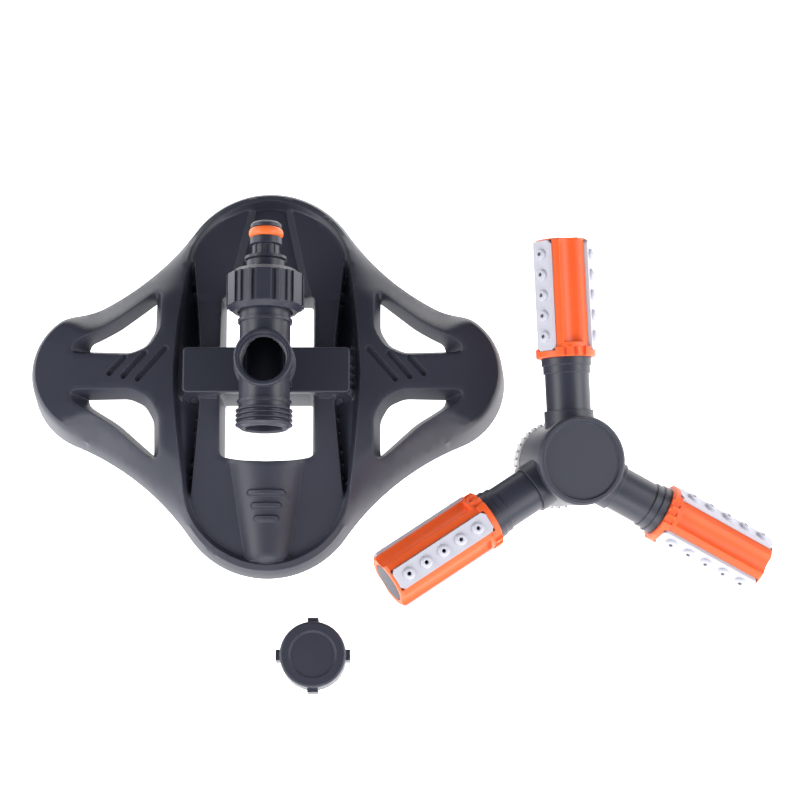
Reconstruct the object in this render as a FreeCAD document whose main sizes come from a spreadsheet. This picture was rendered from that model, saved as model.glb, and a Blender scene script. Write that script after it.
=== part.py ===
import FreeCAD, Part
import math
import os
import Sketcher
from FreeCAD import Placement, Rotation, Vector

# Three-arm rotating lawn sprinkler, laid out on one flat floor (z = 0).
# The sled base with its tee stands at the origin, +Z up, hose inlet towards +Y, spare outlet towards -Y.
# The rotor lies to the right of the base, leaning on its stem and one head. The outlet cap lies in front.

doc = FreeCAD.newDocument("sprinkler")
sheet = doc.addObject("Spreadsheet::Sheet", "Dims")

# Every size in millimetres or degrees. A value that starts with "=" is worked out from the others.
SIZES = [
    # sled base
    ("lobe_x_mid", "79.4", "centre of each end lobe from the middle"),
    ("lobe_x_r", "33", "radius of each end lobe"),
    ("lobe_y_mid", "49.2", "centre of the front and back lobes from the middle"),
    ("lobe_y_r", "44.8", "radius of the front and back lobes"),
    ("flank_r", "124", "radius of the hollow flank between two lobes"),
    ("base_height", "28", "height of the top face over the floor"),
    ("wall_slope", "15", "lean of the outer wall in degrees"),
    ("edge_round", "3", "rounding of the top edge"),
    ("shell_wall", "2.6", "wall of the moulding"),
    ("low_roof", "6", "height of the hollow under the dishes"),
    ("low_reach", "58", "where the hollow under the dishes steps up"),
    ("high_roof", "14", "height of the hollow under the far ends of the dishes"),
    ("screw_room", "9.8", "half size of the hollow round each saddle screw"),
    ("rail_x", "46.5", "half width between the two deep side hollows"),
    ("window_wall", "2.4", "wall round each side window"),
    ("window_x_in", "50.4", "inner upright edge of a side window"),
    ("window_x_tip", "52.8", "x of a side window's tip"),
    ("window_tip_w", "1.4", "width of a side window's blunt tip"),
    ("window_x_mid", "62.6", "x where a side window's curved corner begins"),
    ("window_x_out", "91.6", "outer end of a side window"),
    ("window_y_in", "8.4", "edge of a side window nearest the middle line"),
    ("window_y_bend", "20.5", "y where the curved corner ends"),
    ("window_y_up", "35.6", "y where the upright edge ends"),
    ("window_y_tip", "38.8", "y of a side window's tip"),
    ("window_y_out", "12.6", "y of the outer end"),
    ("window_bend_r", "19", "radius of the curved corner"),
    ("window_flank_r", "139", "radius of the long edge beside the flank"),
    ("well_x", "21.5", "half width of the middle opening"),
    ("well_y", "38.5", "half length of the middle opening"),
    ("well_round", "6", "corner radius of the middle opening"),
    ("bay_x_in", "30.6", "inner edge of a rail pocket"),
    ("bay_x_out", "43.4", "outer edge of a rail pocket"),
    ("bay_x_tip", "36.2", "x of a rail pocket's point"),
    ("bay_y_in", "13", "y where a rail pocket starts"),
    ("bay_y_tip", "57", "y of a rail pocket's point"),
    ("bay_depth", "19", "depth of a rail pocket"),
    ("dish_x_in", "29.5", "half width of a lobe's dish beside the middle opening"),
    ("dish_x_far", "30", "half width of a lobe's dish at its far corners"),
    ("dish_y_in", "14", "start of a lobe's dish"),
    ("dish_y_far", "63", "far corners of a lobe's dish"),
    ("dish_y_tip", "85.5", "far end of a lobe's dish"),
    ("dish_tip_r", "36", "radius of the dish's far end"),
    ("dish_r", "120", "radius of the dish's hollow slope"),
    ("dish_low", "10", "height of the dish's floor beside the opening"),
    ("slot_w", "3.2", "width of a grip slot in the end lobes"),
    ("slot_depth", "1.6", "depth of a grip slot"),
    ("slot_pitch", "8.4", "spacing of the grip slots"),
    ("slot_first", "71.8", "middle of the outermost grip slot"),
    ("slot_short", "8.4", "straight length of the shortest grip slot"),
    ("slot_step", "4.2", "how much longer each next grip slot is"),
    ("slot_angle", "52", "slant of the grip slots in degrees"),
    ("tongue_r_in", "18.6", "half width of the front tongue beside the opening"),
    ("tongue_r_out", "11.4", "half width of the front tongue at its far end"),
    ("tongue_start", "37.6", "where the front tongue starts"),
    ("tongue_long", "50", "length of the front tongue"),
    ("tongue_round", "5", "rounding of the tongue's far end"),
    ("tongue_axis", "2.4", "height of the tongue's centre line"),
    ("bar_w", "3.4", "width of a grip bar on the tongue"),
    ("bar_high", "1.2", "how far a grip bar stands over the tongue"),
    ("bar_first", "55.5", "middle of the first grip bar"),
    ("bar_pitch", "6", "spacing of the grip bars"),
    ("bar_long", "18.4", "length of the first grip bar"),
    ("bar_step", "2.9", "how much shorter each next grip bar is"),
    # saddle plate under the tee
    ("saddle_long", "78", "length of the saddle plate"),
    ("saddle_w", "21.6", "width of the saddle plate"),
    ("saddle_thick", "4", "thickness of the saddle plate"),
    ("saddle_round", "2", "corner radius of the saddle plate"),
    ("saddle_edge", "0.8", "rounding of the saddle plate's top edge"),
    ("screw_x", "34", "distance of a saddle screw from the middle"),
    ("screw_r", "1.7", "radius of a saddle screw's shank"),
    ("screw_head_r", "3.4", "radius of a saddle screw's head"),
    ("screw_head", "2", "height of a saddle screw's head"),
    ("screw_long", "8.2", "length of a saddle screw's shank"),
    ("screw_gap", "0.05", "clearance round a saddle screw's shank"),
    ("screw_drive_r", "1.4", "half width of a saddle screw's drive recess"),
    # tee
    ("tube_r", "11.75", "outer radius of the tee's through tube"),
    ("tube_bore", "8.6", "bore radius of the tee's through tube"),
    ("tube_over", "0.4", "how far the saddle plate sinks into the through tube's flat"),
    ("hose_crest", "13.2", "crest radius of the hose thread"),
    ("inlet_crest", "12.9", "crest radius of the thread under the inlet nut"),
    ("hose_root", "11.9", "root radius of the hose thread"),
    ("hose_pitch", "2.2", "pitch of the hose thread"),
    ("hose_crest_w", "1.0", "flat on each crest of the hose thread"),
    ("outlet_end", "31", "face of the spare outlet from the middle"),
    ("outlet_thread", "19.6", "where the outlet thread starts"),
    ("ring_r", "12.6", "radius of the raised rings on the through tube"),
    ("ring_w", "1.6", "width of a raised ring"),
    ("inlet_ring", "20.4", "middle of the ring beside the inlet nut"),
    ("inlet_end", "36", "face of the inlet thread from the middle"),
    ("inlet_thread", "24.4", "where the inlet thread starts"),
    ("socket_r", "13.5", "outer radius of the rotor socket"),
    ("socket_low_r", "14.4", "outer radius of the socket's lower collar"),
    ("collar_drop", "4", "how far the lower collar reaches below the tube's axis"),
    ("socket_bore", "10.2", "crest radius of the rotor socket's thread"),
    ("socket_deep_r", "11", "root radius of the rotor socket's thread"),
    ("socket_pitch", "2.4", "pitch of the rotor socket's thread"),
    ("socket_mouth_r", "11.6", "radius of the bevel at the socket's mouth"),
    ("socket_rise", "14.05", "socket rim over the tube axis"),
    ("socket_depth", "15.6", "depth of the rotor socket's thread"),
    ("socket_floor_r", "7.4", "radius of the water way under the socket"),
    # inlet nut and hose nipple
    ("nut_r", "16.9", "radius of the inlet nut between its ribs"),
    ("nut_rib", "1.2", "how far a rib stands over the nut"),
    ("nut_rib_w", "1.5", "width of a rib"),
    ("nut_rib_apart", "9", "half angle between the two ribs of a pair in degrees"),
    ("nut_lobe", "0.8", "how far a grip lobe stands over the nut"),
    ("nut_lobe_w", "7", "width of a grip lobe"),
    ("nut_start", "24", "skirt end of the inlet nut from the middle"),
    ("nut_end", "43.4", "nipple end of the inlet nut from the middle"),
    ("nut_bevel", "2.2", "bevel at each end of the inlet nut"),
    ("nut_lip_r", "9.1", "radius of the hole in the nut's end wall"),
    ("nut_lip", "2.4", "thickness of the nut's end wall"),
    ("run_gap", "0.06", "radial clearance of every turning fit"),
    ("flange_r", "12.6", "radius of the nipple's flange inside the nut"),
    ("flange_w", "2.2", "thickness of the nipple's flange"),
    ("washer_w", "2.2", "thickness of the flat hose washers"),
    ("nipple_shoulder_r", "9", "radius of the nipple's shoulder"),
    ("nipple_shoulder_end", "48.8", "end of the nipple's shoulder from the middle"),
    ("nipple_disc_r", "9.9", "radius of the thin disc beside the neck"),
    ("nipple_disc_end", "50.2", "far side of the thin disc"),
    ("neck_r", "6.35", "radius of the nipple's neck"),
    ("neck_end", "55.6", "end of the neck"),
    ("band_r", "7.5", "radius of the nipple's band"),
    ("band_end", "59.4", "end of the band"),
    ("seal_floor_r", "5.9", "radius at the bottom of the seal groove"),
    ("seal_end", "64.2", "far side of the seal groove"),
    ("seal_bulge_r", "2.75", "radius of the seal ring's round outside"),
    ("seal_slack", "0.2", "slack at each side of the seal ring in its groove"),
    ("seal_sink", "0.3", "how far the seal ring's sides stay below the tip"),
    ("tip_r", "7.3", "radius of the nipple's tip"),
    ("tip_end", "66.8", "face of the nipple's tip from the middle"),
    ("tip_bevel", "1", "bevel at the nipple's tip"),
    ("nipple_bore", "4.4", "bore radius of the nipple"),
    ("neck_rib", "0.5", "how far the neck's fine ribs stand out"),
    # rotor, measured from the crossing of the arm axes, hub axis along Z
    ("hub_r", "19.4", "outer radius of the hub"),
    ("hub_low", "19.4", "depth of the hub below the arm axes"),
    ("hub_top", "13", "height of the hub above the arm axes"),
    ("hub_skin", "3", "side wall of the hub's water chamber"),
    ("chamber_low", "9", "depth of the water chamber below the arm axes"),
    ("cover_r", "20.4", "outer radius of the hub cover"),
    ("cover_thick", "4.2", "thickness of the hub cover's rim"),
    ("cover_dish_r", "17.4", "radius of the cover's sunk face"),
    ("cover_dish", "1.1", "depth of the cover's sunk face"),
    ("cover_plug", "3.2", "length of the cover's plug in the chamber"),
    ("boss_r", "11.4", "radius of an arm boss on the hub"),
    ("boss_end", "23.6", "face of an arm boss from the hub axis"),
    ("arm_r", "10.25", "outer radius of an arm"),
    ("arm_bore", "5.6", "bore radius of an arm"),
    ("arm_spigot_r", "8.6", "radius of an arm's spigot in its boss"),
    ("arm_spigot", "8", "length of an arm's spigot"),
    ("arm_collar_r", "11.5", "radius of the collar in front of a head"),
    ("arm_collar_w", "3.6", "width of that collar"),
    ("head_start", "48", "inner end of a head from the hub axis"),
    ("head_long", "54.6", "length of a head"),
    ("head_bore", "7.2", "bore radius of a head"),
    ("arm_seal_r", "1", "radius of an arm seal ring's cord"),
    ("arm_seal_at", "54", "middle of an arm seal ring from the hub axis"),
    ("carrier_r", "12.9", "radius of the orange carrier over its ridges"),
    ("collar_r", "13.8", "radius of the carrier's inner collar"),
    ("collar_w", "4.4", "width of the carrier's inner collar"),
    ("scallop_r", "1.5", "radius of a scallop in the carrier's collar"),
    ("valley_r", "6.4", "radius of a valley between two strips"),
    ("valley_mid", "16.4", "distance of a valley's centre from the head axis"),
    ("valley_start", "6.4", "where the valleys start from the head's inner end"),
    ("seat_r", "9.8", "distance of a strip's seat from the head axis"),
    ("strip_w", "10", "width of a nozzle strip"),
    ("strip_thick", "3.7", "thickness of a nozzle strip"),
    ("strip_long", "50.6", "length of a nozzle strip"),
    ("strip_start", "3", "gap from the head's inner end to a strip"),
    ("strip_bevel", "1.6", "cut corner of a nozzle strip"),
    ("strip_side", "0.15", "clearance beside a strip in its seat"),
    ("dome_r", "2.65", "radius of a nozzle dome"),
    ("dome_high", "1.5", "height of a nozzle dome"),
    ("dome_round", "1", "rounding of a nozzle dome"),
    ("jet_r", "0.95", "radius of a nozzle's hole"),
    ("jet_pitch", "9.4", "spacing of the nozzles"),
    ("jet_first", "6.6", "first nozzle from the strip's inner end"),
    ("feed_w", "3", "width of the feed slot under a strip"),
    ("feed_long", "40", "length of the feed slot"),
    ("plug_r", "=head_bore - 1", "radius of a head's end plug shank"),
    ("plug_head_r", "9.4", "radius of a head's end plug face"),
    ("plug_thick", "2.4", "thickness of a head's end plug face"),
    ("plug_long", "6", "length of a head's end plug shank"),
    ("plug_gap", "0.2", "slack behind a head's end plug"),
    # stem and lock ring under the hub
    ("stem_collar_r", "14.6", "radius of the stem's bearing collar inside the hub"),
    ("stem_collar_w", "3", "thickness of the bearing collar"),
    ("stem_neck_r", "11.2", "radius of the stem where the hub turns on it"),
    ("stem_bore", "7", "bore radius of the stem"),
    ("stem_low", "40", "depth of the stem's end below the arm axes"),
    ("stem_rim_r", "8", "radius of the stem's end after its bevel"),
    ("stem_thread_r", "10", "crest radius of the stem's thread"),
    ("stem_root_r", "9.2", "root radius of the stem's thread"),
    ("ring_top", "20.4", "top of the lock ring below the arm axes"),
    ("ring_low", "27.6", "bottom of the lock ring below the arm axes"),
    ("lock_r", "19.6", "radius of the lock ring between its teeth"),
    ("lock_tooth", "0.9", "how far a tooth of the lock ring stands out"),
    ("lock_count", "36", "number of teeth round the lock ring"),
    ("bearing_w", "1", "thickness of the bearing washer"),
    ("stem_seal_w", "1.8", "thickness of the stem's flat seal"),
    ("stem_seal_over", "1.7", "how far the flat seal reaches past the stem's neck"),
    # outlet cap
    ("cap_r", "15.4", "outer radius of the outlet cap"),
    ("cap_high", "14.6", "height of the outlet cap"),
    ("cap_top", "2.6", "thickness of the cap's end wall"),
    ("cap_lug", "1.9", "how far a grip lug stands out"),
    ("cap_lug_w", "5", "width of a grip lug"),
    ("cap_dish_r", "11", "radius of the cap's sunk face"),
    ("cap_dish", "0.7", "depth of the cap's sunk face"),
    ("cap_seat_r", "12.9", "radius of the washer's seat in the cap"),
    ("cap_edge", "1.2", "rounding of the cap's top edge"),
    ("saddle_half_x", "=saddle_long / 2", "half length of the saddle plate"),
    ("saddle_half_y", "=saddle_w / 2", "half width of the saddle plate"),
    ("edge_fine", "0.6", "small edge bevel used on the turned pieces"),
    ("screw_edge", "0.5", "edge bevel and drive width of a saddle screw"),
    ("hose_flat", "=hose_crest_w / 2", "length of one flank or half crest of the hose thread"),
    ("socket_flat", "0.4", "length of one flank or half crest of the rotor thread"),
    ("tube_height", "=base_height + saddle_thick + tube_r + 1.2", "height of the tee's tube axis"),
    ("tube_drop", "=tube_height - base_height - saddle_thick", "tube axis over the saddle plate"),
    ("socket_top", "=tube_height + socket_rise", "height of the socket's rim over the floor"),
    ("foot_long", "24", "length of the tee's foot across the base"),
    ("foot_half", "=foot_long / 2", "half length of the tee's foot"),
    ("nut_lobe_half", "=nut_lobe_w / 2", "half width of a grip lobe"),
    ("stem_bevel", "1.4", "bevel of the stem's end"),
    ("tooth_slope", "0.25", "narrowing of a tooth towards its tip"),
    ("arm_inner", "=head_bore - 2.2", "bore radius of an arm's inner pipe"),
    ("feed_start", "=head_start + strip_start + 5", "start of the feed slots"),
    ("feed_half", "=feed_w / 2", "half width of a feed slot"),
    ("seal_squeeze", "0.08", "how much thinner a fitted arm seal's cord is"),
    ("strip_half", "=strip_w / 2", "half width of a nozzle strip"),
    ("cap_lug_half", "=cap_lug_w / 2", "half width of a grip lug"),
    # layout on the floor
    ("rotor_x", "141", "hub axis crossing to the right of the base"),
    ("rotor_y", "-45.7", "hub axis crossing in front of the base"),
    ("rotor_turn", "3.5", "turn of the rotor about its hub axis in degrees"),
    ("cap_x", "22", "cap to the right of the middle"),
    ("cap_y", "-131", "cap in front of the base"),
]
sheet.set("A1", "name")
sheet.set("B1", "value")
sheet.set("C1", "what it is")
for row, (name, value, note) in enumerate(SIZES, start=2):
    sheet.set("A%d" % row, name)
    sheet.set("B%d" % row, value)
    sheet.setAlias("B%d" % row, name)
    sheet.set("C%d" % row, note)
doc.recompute()


def size(name):
    return float(sheet.get(name))


# A coordinate is a list of signed sheet names that are added up, such as "-lobe_y_mid+shell_wall".
def terms(text):
    found = []
    for piece in text.replace("-", " -").replace("+", " +").split():
        sign = -1.0 if piece[0] == "-" else 1.0
        found.append((sign, piece.lstrip("+-")))
    return found


def amount(text):
    total = 0.0
    for sign, name in terms(text):
        if name[0].isdigit():
            total += sign * float(name)
        else:
            total += sign * size(name)
    return total


def formula(text):
    words = []
    for sign, name in terms(text):
        mark = "-" if sign < 0 else "+"
        words.append(mark + (name if name[0].isdigit() else "Dims." + name))
    return "".join(words).lstrip("+")


def bind(thing, prop, text):
    thing.setExpression(prop, formula(text))


def body(name):
    made = doc.addObject("PartDesign::Body", name)
    made.Label = name
    return made


def plane(owner, role):
    return [f for f in owner.Origin.OriginFeatures if getattr(f, "Role", "") == role][0]


def sketch_on(owner, role, name, lift=None):
    made = owner.newObject("Sketcher::SketchObject", name)
    made.AttachmentSupport = (plane(owner, role), [""])
    made.MapMode = "FlatFace"
    if lift:
        bind(made, "AttachmentOffset.Base.z", lift)
    return made


def pin_point(sk, geo, pos, x, y):
    for kind, text, axis in (("DistanceX", x, -2), ("DistanceY", y, -1)):
        if text == "0":
            sk.addConstraint(Sketcher.Constraint("PointOnObject", geo, pos, axis))
        else:
            made = sk.addConstraint(Sketcher.Constraint(kind, -1, 1, geo, pos, amount(text)))
            sk.setExpression("Constraints[%d]" % made, formula(text))


# A closed outline. Each corner is (x, y), or (x, y, radius, side) when the edge that leaves it is an arc
# whose centre lies to the left (side 1) or right (side -1) of the way along the outline.
def outline(sk, corners):
    ends = []
    for i, corner in enumerate(corners):
        after = corners[(i + 1) % len(corners)]
        a = Vector(amount(corner[0]), amount(corner[1]), 0)
        b = Vector(amount(after[0]), amount(after[1]), 0)
        if len(corner) == 2:
            geo = sk.addGeometry(Part.LineSegment(a, b), False)
            ends.append((geo, 1, geo, 2))
        else:
            radius = amount(corner[2])
            along = (b - a).normalize()
            left = Vector(-along.y, along.x, 0) * corner[3]
            half = (b - a).Length / 2
            mid = (a + b) * 0.5 + left * math.sqrt(max(radius * radius - half * half, 0))
            first, last = (a, b) if corner[3] > 0 else (b, a)
            start = math.atan2(first.y - mid.y, first.x - mid.x)
            stop = math.atan2(last.y - mid.y, last.x - mid.x)
            if stop <= start:
                stop += 2 * math.pi
            circle = Part.Circle(mid, Vector(0, 0, 1), radius)
            geo = sk.addGeometry(Part.ArcOfCircle(circle, start, stop), False)
            made = sk.addConstraint(Sketcher.Constraint("Radius", geo, radius))
            sk.setExpression("Constraints[%d]" % made, formula(corner[2]))
            ends.append((geo, 1, geo, 2) if corner[3] > 0 else (geo, 2, geo, 1))
    for i, corner in enumerate(corners):
        before = ends[i - 1]
        here = ends[i]
        sk.addConstraint(Sketcher.Constraint("Coincident", before[2], before[3], here[0], here[1]))
        pin_point(sk, here[0], here[1], corner[0], corner[1])


def pad(owner, sk, length, name):
    made = owner.newObject("PartDesign::Pad", name)
    made.Profile = sk
    bind(made, "Length", length)
    owner.Tip = made
    return made


def turned(owner, role, corners, name, axis="V_Axis", cut=False):
    sk = sketch_on(owner, role, name + "_profile")
    outline(sk, corners)
    kind = "PartDesign::Groove" if cut else "PartDesign::Revolution"
    made = owner.newObject(kind, name)
    made.Profile = sk
    made.ReferenceAxis = (sk, [axis])
    made.Angle = 360
    owner.Tip = made
    return made


# Half-section corners of a thread: ridges with flat crests, from one station towards another.
def ridges(start, count, pitch, crest, root, flat, first, swap=False):
    found = []
    for i in range(count):
        low = start + ("+" + pitch) * i
        quarter = "+" + flat
        found.append((root, low))
        found.append((crest, low + quarter))
        found.append((crest, low + quarter + quarter))
        found.append((root, low + quarter + quarter + quarter))
    if swap:
        found = [(b, a) for a, b in found]
    return found if first else found[::-1]


def cylinder(name, radius, height):
    made = doc.addObject("Part::Cylinder", name)
    bind(made, "Radius", radius)
    bind(made, "Height", height)
    return made


def block(name, x, y, z, at_x, at_y, at_z):
    made = doc.addObject("Part::Box", name)
    bind(made, "Length", x)
    bind(made, "Width", y)
    bind(made, "Height", z)
    bind(made, "Placement.Base.x", at_x)
    bind(made, "Placement.Base.y", at_y)
    bind(made, "Placement.Base.z", at_z)
    return made


def fuse(name, shapes):
    made = doc.addObject("Part::MultiFuse", name)
    made.Shapes = shapes
    return made


def cut(name, base, tool):
    made = doc.addObject("Part::Cut", name)
    made.Base = base
    made.Tool = tool
    return made


def common(name, shapes):
    made = doc.addObject("Part::MultiCommon", name)
    made.Shapes = shapes
    return made


def copies(name, source, spots):
    links = []
    for i, spot in enumerate(spots):
        link = doc.addObject("App::Link", "%s_copy_%d" % (name, i + 1))
        link.LinkedObject = source
        link.LinkTransform = True
        link.Placement = spot
        links.append(link)
    made = doc.addObject("Part::Compound", name)
    made.Links = links
    return made


def turn(axis, angle):
    return Placement(Vector(0, 0, 0), Rotation(axis, angle))


UP = Vector(0, 0, 1)
ALONG = Vector(1, 0, 0)
ACROSS = Vector(0, 1, 0)
nodes = []


def node(name, thing, place=None):
    if place:
        thing.Placement = place.multiply(thing.Placement)
    thing.Label = name
    nodes.append(thing)


# ---------------------------------------------------------------- sled base
# One charcoal moulding: four round lobes joined by hollow flanks, with a leaning outer wall.
# Its underside is hollow, and deep frames surround the four side windows.


def lobed(sk, grow):
    ends = "lobe_x_r" + grow
    fronts = "lobe_y_r" + grow
    flank = "flank_r" + (grow.replace("-", "+") if grow else "")
    small = amount(ends)
    large = amount(fronts)
    hollow = amount(flank)
    mid_e = Vector(size("lobe_x_mid"), 0, 0)
    mid_n = Vector(0, size("lobe_y_mid"), 0)
    gap = (mid_n - mid_e).Length
    reach_e = hollow + small
    reach_n = hollow + large
    step = (reach_e ** 2 - reach_n ** 2 + gap ** 2) / (2 * gap)
    side = math.sqrt(reach_e ** 2 - step ** 2)
    way = (mid_n - mid_e).normalize()
    out = Vector(way.y, -way.x, 0)
    spot = mid_e + way * step + out * side
    circles = []
    for k in range(4):
        sx = 1 if k in (0, 3) else -1
        sy = 1 if k in (0, 1) else -1
        lobe = [mid_e, mid_n, mid_e * -1, mid_n * -1][k]
        circles.append((lobe, small if k in (0, 2) else large, ends if k in (0, 2) else fronts, 1))
        circles.append((Vector(spot.x * sx, spot.y * sy, 0), hollow, flank, -1))
    arcs = []
    for i, (mid, radius, text, side) in enumerate(circles):
        before = circles[i - 1]
        after = circles[(i + 1) % 8]
        a = mid + (before[0] - mid).normalize() * radius
        b = mid + (after[0] - mid).normalize() * radius
        first, last = (a, b) if side > 0 else (b, a)
        start = math.atan2(first.y - mid.y, first.x - mid.x)
        stop = math.atan2(last.y - mid.y, last.x - mid.x)
        if stop <= start:
            stop += 2 * math.pi
        circle = Part.Circle(mid, UP, radius)
        arcs.append(sk.addGeometry(Part.ArcOfCircle(circle, start, stop), False))
    for i, (mid, radius, text, side) in enumerate(circles):
        here = (arcs[i], 2 if side > 0 else 1)
        there = (arcs[(i + 1) % 8], 1 if circles[(i + 1) % 8][3] > 0 else 2)
        sk.addConstraint(Sketcher.Constraint("Tangent", here[0], here[1], there[0], there[1]))
    for i, (mid, radius, text, side) in enumerate(circles):
        made = sk.addConstraint(Sketcher.Constraint("Radius", arcs[i], radius))
        sk.setExpression("Constraints[%d]" % made, formula(text))
    mids = (("lobe_x_mid", "0"), ("0", "lobe_y_mid"), ("-lobe_x_mid", "0"), ("0", "-lobe_y_mid"))
    for k, (x, y) in enumerate(mids):
        pin_point(sk, arcs[2 * k], 3, x, y)


outer = body("base_outer")
outer_sketch = sketch_on(outer, "XY_Plane", "base_outline")
lobed(outer_sketch, "")
outer_pad = pad(outer, outer_sketch, "base_height", "base_pad")
bind(outer_pad, "TaperAngle", "-wall_slope")
doc.recompute()
top_edges = []
for i, edge in enumerate(outer_pad.Shape.Edges):
    low = edge.BoundBox.ZMin
    if abs(low - size("base_height")) < 0.01:
        top_edges.append("Edge%d" % (i + 1))
outer_round = outer.newObject("PartDesign::Fillet", "base_top_round")
outer_round.Base = (outer_pad, top_edges)
bind(outer_round, "Radius", "edge_round")
outer.Tip = outer_round

inner = body("base_inner")
inner_sketch = sketch_on(inner, "XY_Plane", "hollow_outline")
lobed(inner_sketch, "-shell_wall")
inner_pad = pad(inner, inner_sketch, "base_height-shell_wall", "hollow_pad")
bind(inner_pad, "TaperAngle", "-wall_slope")


def four(sk, corners):
    for sx, sy in ((1, 1), (-1, 1), (-1, -1), (1, -1)):
        loop = []
        for corner in corners:
            x = corner[0] if sx > 0 else formula_flip(corner[0])
            y = corner[1] if sy > 0 else formula_flip(corner[1])
            if len(corner) == 2:
                loop.append((x, y))
            else:
                loop.append((x, y, corner[2], corner[3] * sx * sy))
        outline(sk, loop)


def formula_flip(text):
    if text == "0":
        return text
    words = []
    for sign, name in terms(text):
        words.append(("+" if sign < 0 else "-") + name)
    return "".join(words).lstrip("+")


def window_loop(grow):
    less = "-" + grow if grow else ""
    more = "+" + grow if grow else ""
    bend = "window_bend_r" + less
    flank = "window_flank_r" + less
    return [
        ("window_x_out" + more, "window_y_in" + less),
        ("window_x_out" + more, "window_y_out" + more, flank, -1),
        ("window_x_tip+window_tip_w" + more, "window_y_tip" + more),
        ("window_x_tip" + less, "window_y_tip" + more),
        ("window_x_in" + less, "window_y_up" + more),
        ("window_x_in" + less, "window_y_bend" + less, "window_bend_r" + less, -1),
        ("window_x_mid" + less, "window_y_in" + less),
    ]


frames = body("base_frames")
frame_sketch = sketch_on(frames, "XY_Plane", "frame_loops")
four(frame_sketch, window_loop("window_wall"))
pad(frames, frame_sketch, "base_height-shell_wall", "frame_pad")

windows = body("base_windows")
window_sketch = sketch_on(windows, "XY_Plane", "window_loops", "-base_height")
four(window_sketch, window_loop(""))
pad(windows, window_sketch, "base_height+base_height+base_height", "window_pad")

spine_low = block(
    "spine_low", "rail_x+rail_x", "low_reach+low_reach", "base_height",
    "-rail_x", "-low_reach", "low_roof")
spine_high = block(
    "spine_high", "rail_x+rail_x", "lobe_y_mid+lobe_y_mid+lobe_y_r+lobe_y_r", "base_height",
    "-rail_x", "-lobe_y_mid-lobe_y_r", "high_roof")
spine = fuse("spine", [spine_low, spine_high])
hollow = cut("base_hollow", inner, spine)

well = body("base_well")
well_sketch = sketch_on(well, "XY_Plane", "well_outline", "-base_height")
outline(well_sketch, [
    ("well_x", "-well_y+well_round"),
    ("well_x", "well_y-well_round", "well_round", 1),
    ("well_x-well_round", "well_y"),
    ("-well_x+well_round", "well_y", "well_round", 1),
    ("-well_x", "well_y-well_round"),
    ("-well_x", "-well_y+well_round", "well_round", 1),
    ("-well_x+well_round", "-well_y"),
    ("well_x-well_round", "-well_y", "well_round", 1),
])
pad(well, well_sketch, "base_height+base_height+base_height", "well_pad")

bays = body("base_bays")
bay_sketch = sketch_on(bays, "XY_Plane", "bay_loops", "base_height-bay_depth")
four(bay_sketch, [("bay_x_in", "bay_y_in"), ("bay_x_out", "bay_y_in"), ("bay_x_tip", "bay_y_tip")])
pad(bays, bay_sketch, "base_height", "bay_pad")

# The front and back lobes are dished: a hollow slope runs down from the rim to the middle opening.
dish_area = body("dish_area")
dish_sketch = sketch_on(dish_area, "XY_Plane", "dish_loops")
for flip in (False, True):
    loop = [
        ("dish_x_in", "dish_y_in"),
        ("dish_x_far", "dish_y_far", "dish_tip_r", 1),
        ("0", "dish_y_tip", "dish_tip_r", 1),
        ("-dish_x_far", "dish_y_far"),
        ("-dish_x_in", "dish_y_in"),
    ]
    if flip:
        loop = [(c[0], formula_flip(c[1])) + ((c[2], -c[3]) if len(c) > 2 else ()) for c in loop]
    outline(dish_sketch, loop)
pad(dish_area, dish_sketch, "base_height+base_height", "dish_pad")
rollers = []
for sy in (1, -1):
    roller = cylinder("dish_roller_%d" % sy, "dish_r", "dish_x_far+dish_x_far+dish_x_far")
    roller.Placement.Rotation = Rotation(ACROSS, 90)
    bind(roller, "Placement.Base.x", "-dish_x_far-dish_x_in")
    bind(roller, "Placement.Base.y", "dish_y_in" if sy > 0 else "-dish_y_in")
    bind(roller, "Placement.Base.z", "dish_r+dish_low")
    rollers.append(roller)
dishes = common("base_dishes", [dish_area, fuse("dish_rollers", rollers)])

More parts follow.
